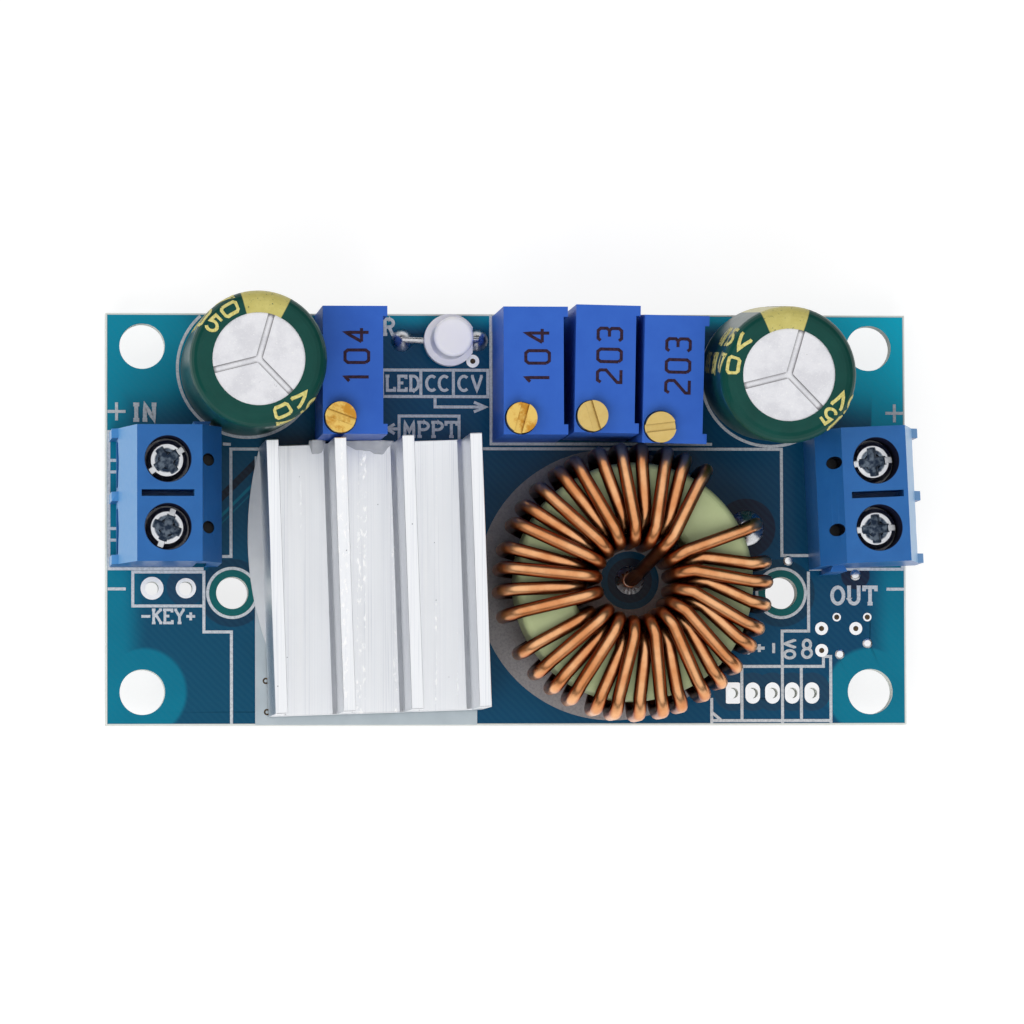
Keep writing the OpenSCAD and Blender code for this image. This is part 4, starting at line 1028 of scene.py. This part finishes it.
def outer_angle(i):
    gap = 0 if i < GAP_AFTER else GAP_ANGLE
    even = FIRST_TURN + (LAST_TURN - FIRST_TURN) * i / (TURNS - 1)
    return even + gap + UNEVEN * math.sin(math.radians(i * UNEVEN_STEP))


def inner_angle(i):
    return outer_angle(i) - (FIRST_SLANT - SLANT_CHANGE * i / (TURNS - 1))


def coil_point(r, angle, z):
    a = math.radians(angle)
    return (COIL_AT[0] + r * math.cos(a), COIL_AT[1] + r * math.sin(a), z)


def wire_bend(r, z, start, end, angle, steps=6):
    turns = [math.radians(start + (end - start) * k / steps) for k in range(steps + 1)]
    return [coil_point(r + BEND_R * math.cos(t), angle, z + BEND_R * math.sin(t)) for t in turns]


def up_inside(r, rise, angle):
    return (wire_bend(r + BEND_R, COIL_LOW + BEND_R - rise, 270, 180, angle)
            + wire_bend(r + BEND_R, COIL_HIGH - BEND_R + rise, 180, 90, angle))


def down_outside(i):
    r = COIL_OUT - BEND_R
    return (wire_bend(r, COIL_HIGH - BEND_R, 90, 0, outer_angle(i))
            + wire_bend(r, COIL_LOW + BEND_R, 0, -90, outer_angle(i)))


def winding():
    path = [(*CENTRE_PAD, -LEAD_DROP), (*CENTRE_PAD, CORE_Z)]
    path += wire_bend(COIL_SECOND + BEND_R, COIL_HIGH - BEND_R + WIRE_STEP, 180, 90, inner_angle(0))
    path += down_outside(0)
    for i in range(1, TURNS):
        nested = i % 2 == 0
        path += up_inside(COIL_SECOND if nested else COIL_IN, WIRE_STEP if nested else 0, inner_angle(i))
        path += down_outside(i)
    path += up_inside(COIL_SECOND, WIRE_STEP, END_TURN)
    away = Vector(COIL_PAD) - Vector(COIL_AT)
    end_angle = math.degrees(math.atan2(away.y, away.x))
    path += wire_bend(away.length - BEND_R, COIL_HIGH - BEND_R, 90, 0, end_angle)
    path += [coil_point(away.length, end_angle, -LEAD_DROP)]
    curve = bpy.data.curves.new("winding", "CURVE")
    curve.dimensions = "3D"
    curve.bevel_depth = WIRE_R * MM
    curve.bevel_resolution = 5
    curve.use_fill_caps = True
    spline = curve.splines.new("POLY")
    spline.points.add(len(path) - 1)
    for point, spot in zip(spline.points, path):
        point.co = (*(Vector(spot) * MM), 1)
    spline.use_smooth = True
    curve.materials.append(PAINTS["winding"])
    obj = put("coil_wire", curve)
    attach(obj, "board")
    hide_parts("inductor_winding")


# Floor, background, lamps and dark cards, in metres. For each card: heights and bearings of its ends
FLOOR_REACH, CARD_REACH = 3.0, 0.6
CARDS = {"dark_wall": ((0.0, 0.5), -30, 210), "dark_front": ((0.28, 0.6), 210, 330)}


def studio():
    low = cad_box[0][2]
    mesh = bpy.data.meshes.new("floor")
    corners = [(-1, -1), (1, -1), (1, 1), (-1, 1)]
    mesh.from_pydata([(x * FLOOR_REACH, y * FLOOR_REACH, low) for x, y in corners], [], [[0, 1, 2, 3]])
    floor = put("floor", mesh)
    paint = Paint("floor_white", Roughness=0.9, Specular_IOR_Level=0.1)
    seen = background_rays(paint.tree)
    paint.set("Base_Color", paint.mix(seen, (0.9, 0.9, 0.9), (0.3, 0.3, 0.3)))
    paint.set("Emission_Color", (1.0, 1.0, 1.0))
    paint.set("Emission_Strength", paint.math("MULTIPLY", seen, 0.8))
    mesh.materials.append(paint.material)
    world = bpy.data.worlds.new("studio")
    scene.world = world
    world.use_nodes = True
    tree = world.node_tree
    strength = tree.nodes.new("ShaderNodeMapRange")
    tree.links.new(background_rays(tree), strength.inputs["Value"])
    strength.inputs["To Min"].default_value = 0.55
    strength.inputs["To Max"].default_value = 1.0
    tree.nodes["Background"].inputs["Color"].default_value = (1, 1, 1, 1)
    tree.links.new(strength.outputs["Result"], tree.nodes["Background"].inputs["Strength"])
    lamp("front", (-0.12, -0.4, 0.66), (0.6, 0.5), 2.6)
    lamp("side", (-0.6, 0.05, 0.42), (0.3, 0.5), 0.9)
    for name, (heights, start, end) in CARDS.items():
        turns = [math.radians(a) for a in range(start, end + 1, 10)]
        span = len(turns)
        wall = [(CARD_REACH * math.cos(t), CARD_REACH * math.sin(t), z) for z in heights for t in turns]
        flag(name, wall, [[i, i + 1, i + 1 + span, i + span] for i in range(span - 1)])


# Dark card that only shows in reflections
def flag(name, points, faces):
    mesh = bpy.data.meshes.new(name)
    mesh.from_pydata(points, [], faces)
    obj = put(name, mesh)
    mesh.materials.append(Paint(name, Base_Color=(0.02, 0.02, 0.02), Roughness=1.0).material)
    obj.visible_camera = False
    obj.visible_diffuse = False
    obj.visible_shadow = False


# Rays that show the background: straight from the camera, mirrored or through glass
def background_rays(tree):
    path = tree.nodes.new("ShaderNodeLightPath")
    total = path.outputs["Is Camera Ray"]
    for name in ("Is Glossy Ray", "Is Transmission Ray"):
        larger = tree.nodes.new("ShaderNodeMath")
        larger.operation = "MAXIMUM"
        tree.links.new(total, larger.inputs[0])
        tree.links.new(path.outputs[name], larger.inputs[1])
        total = larger.outputs[0]
    return total


def lamp(name, place, size, watts):
    data = bpy.data.lights.new(name, "AREA")
    data.shape = "RECTANGLE"
    data.size, data.size_y = size
    data.energy = watts
    obj = put(name, data)
    obj.location = place
    obj.rotation_euler = (-Vector(place)).to_track_quat("-Z", "Y").to_euler()
    obj.visible_glossy = False


add_camera()
for node_name in nodes:
    dress(node_name)
silk_lines()
silk_words()
floor_areas()
pads("pads_top", on_board)
pads("pads_under", under_board)
top_solder()
glue_film()
for node_name in ("shunt_resistor", "chip_resistors", "chip_capacitors"):
    chip_ends(node_name)
trimmer_marks()
sleeve_marks()
winding()
studio()
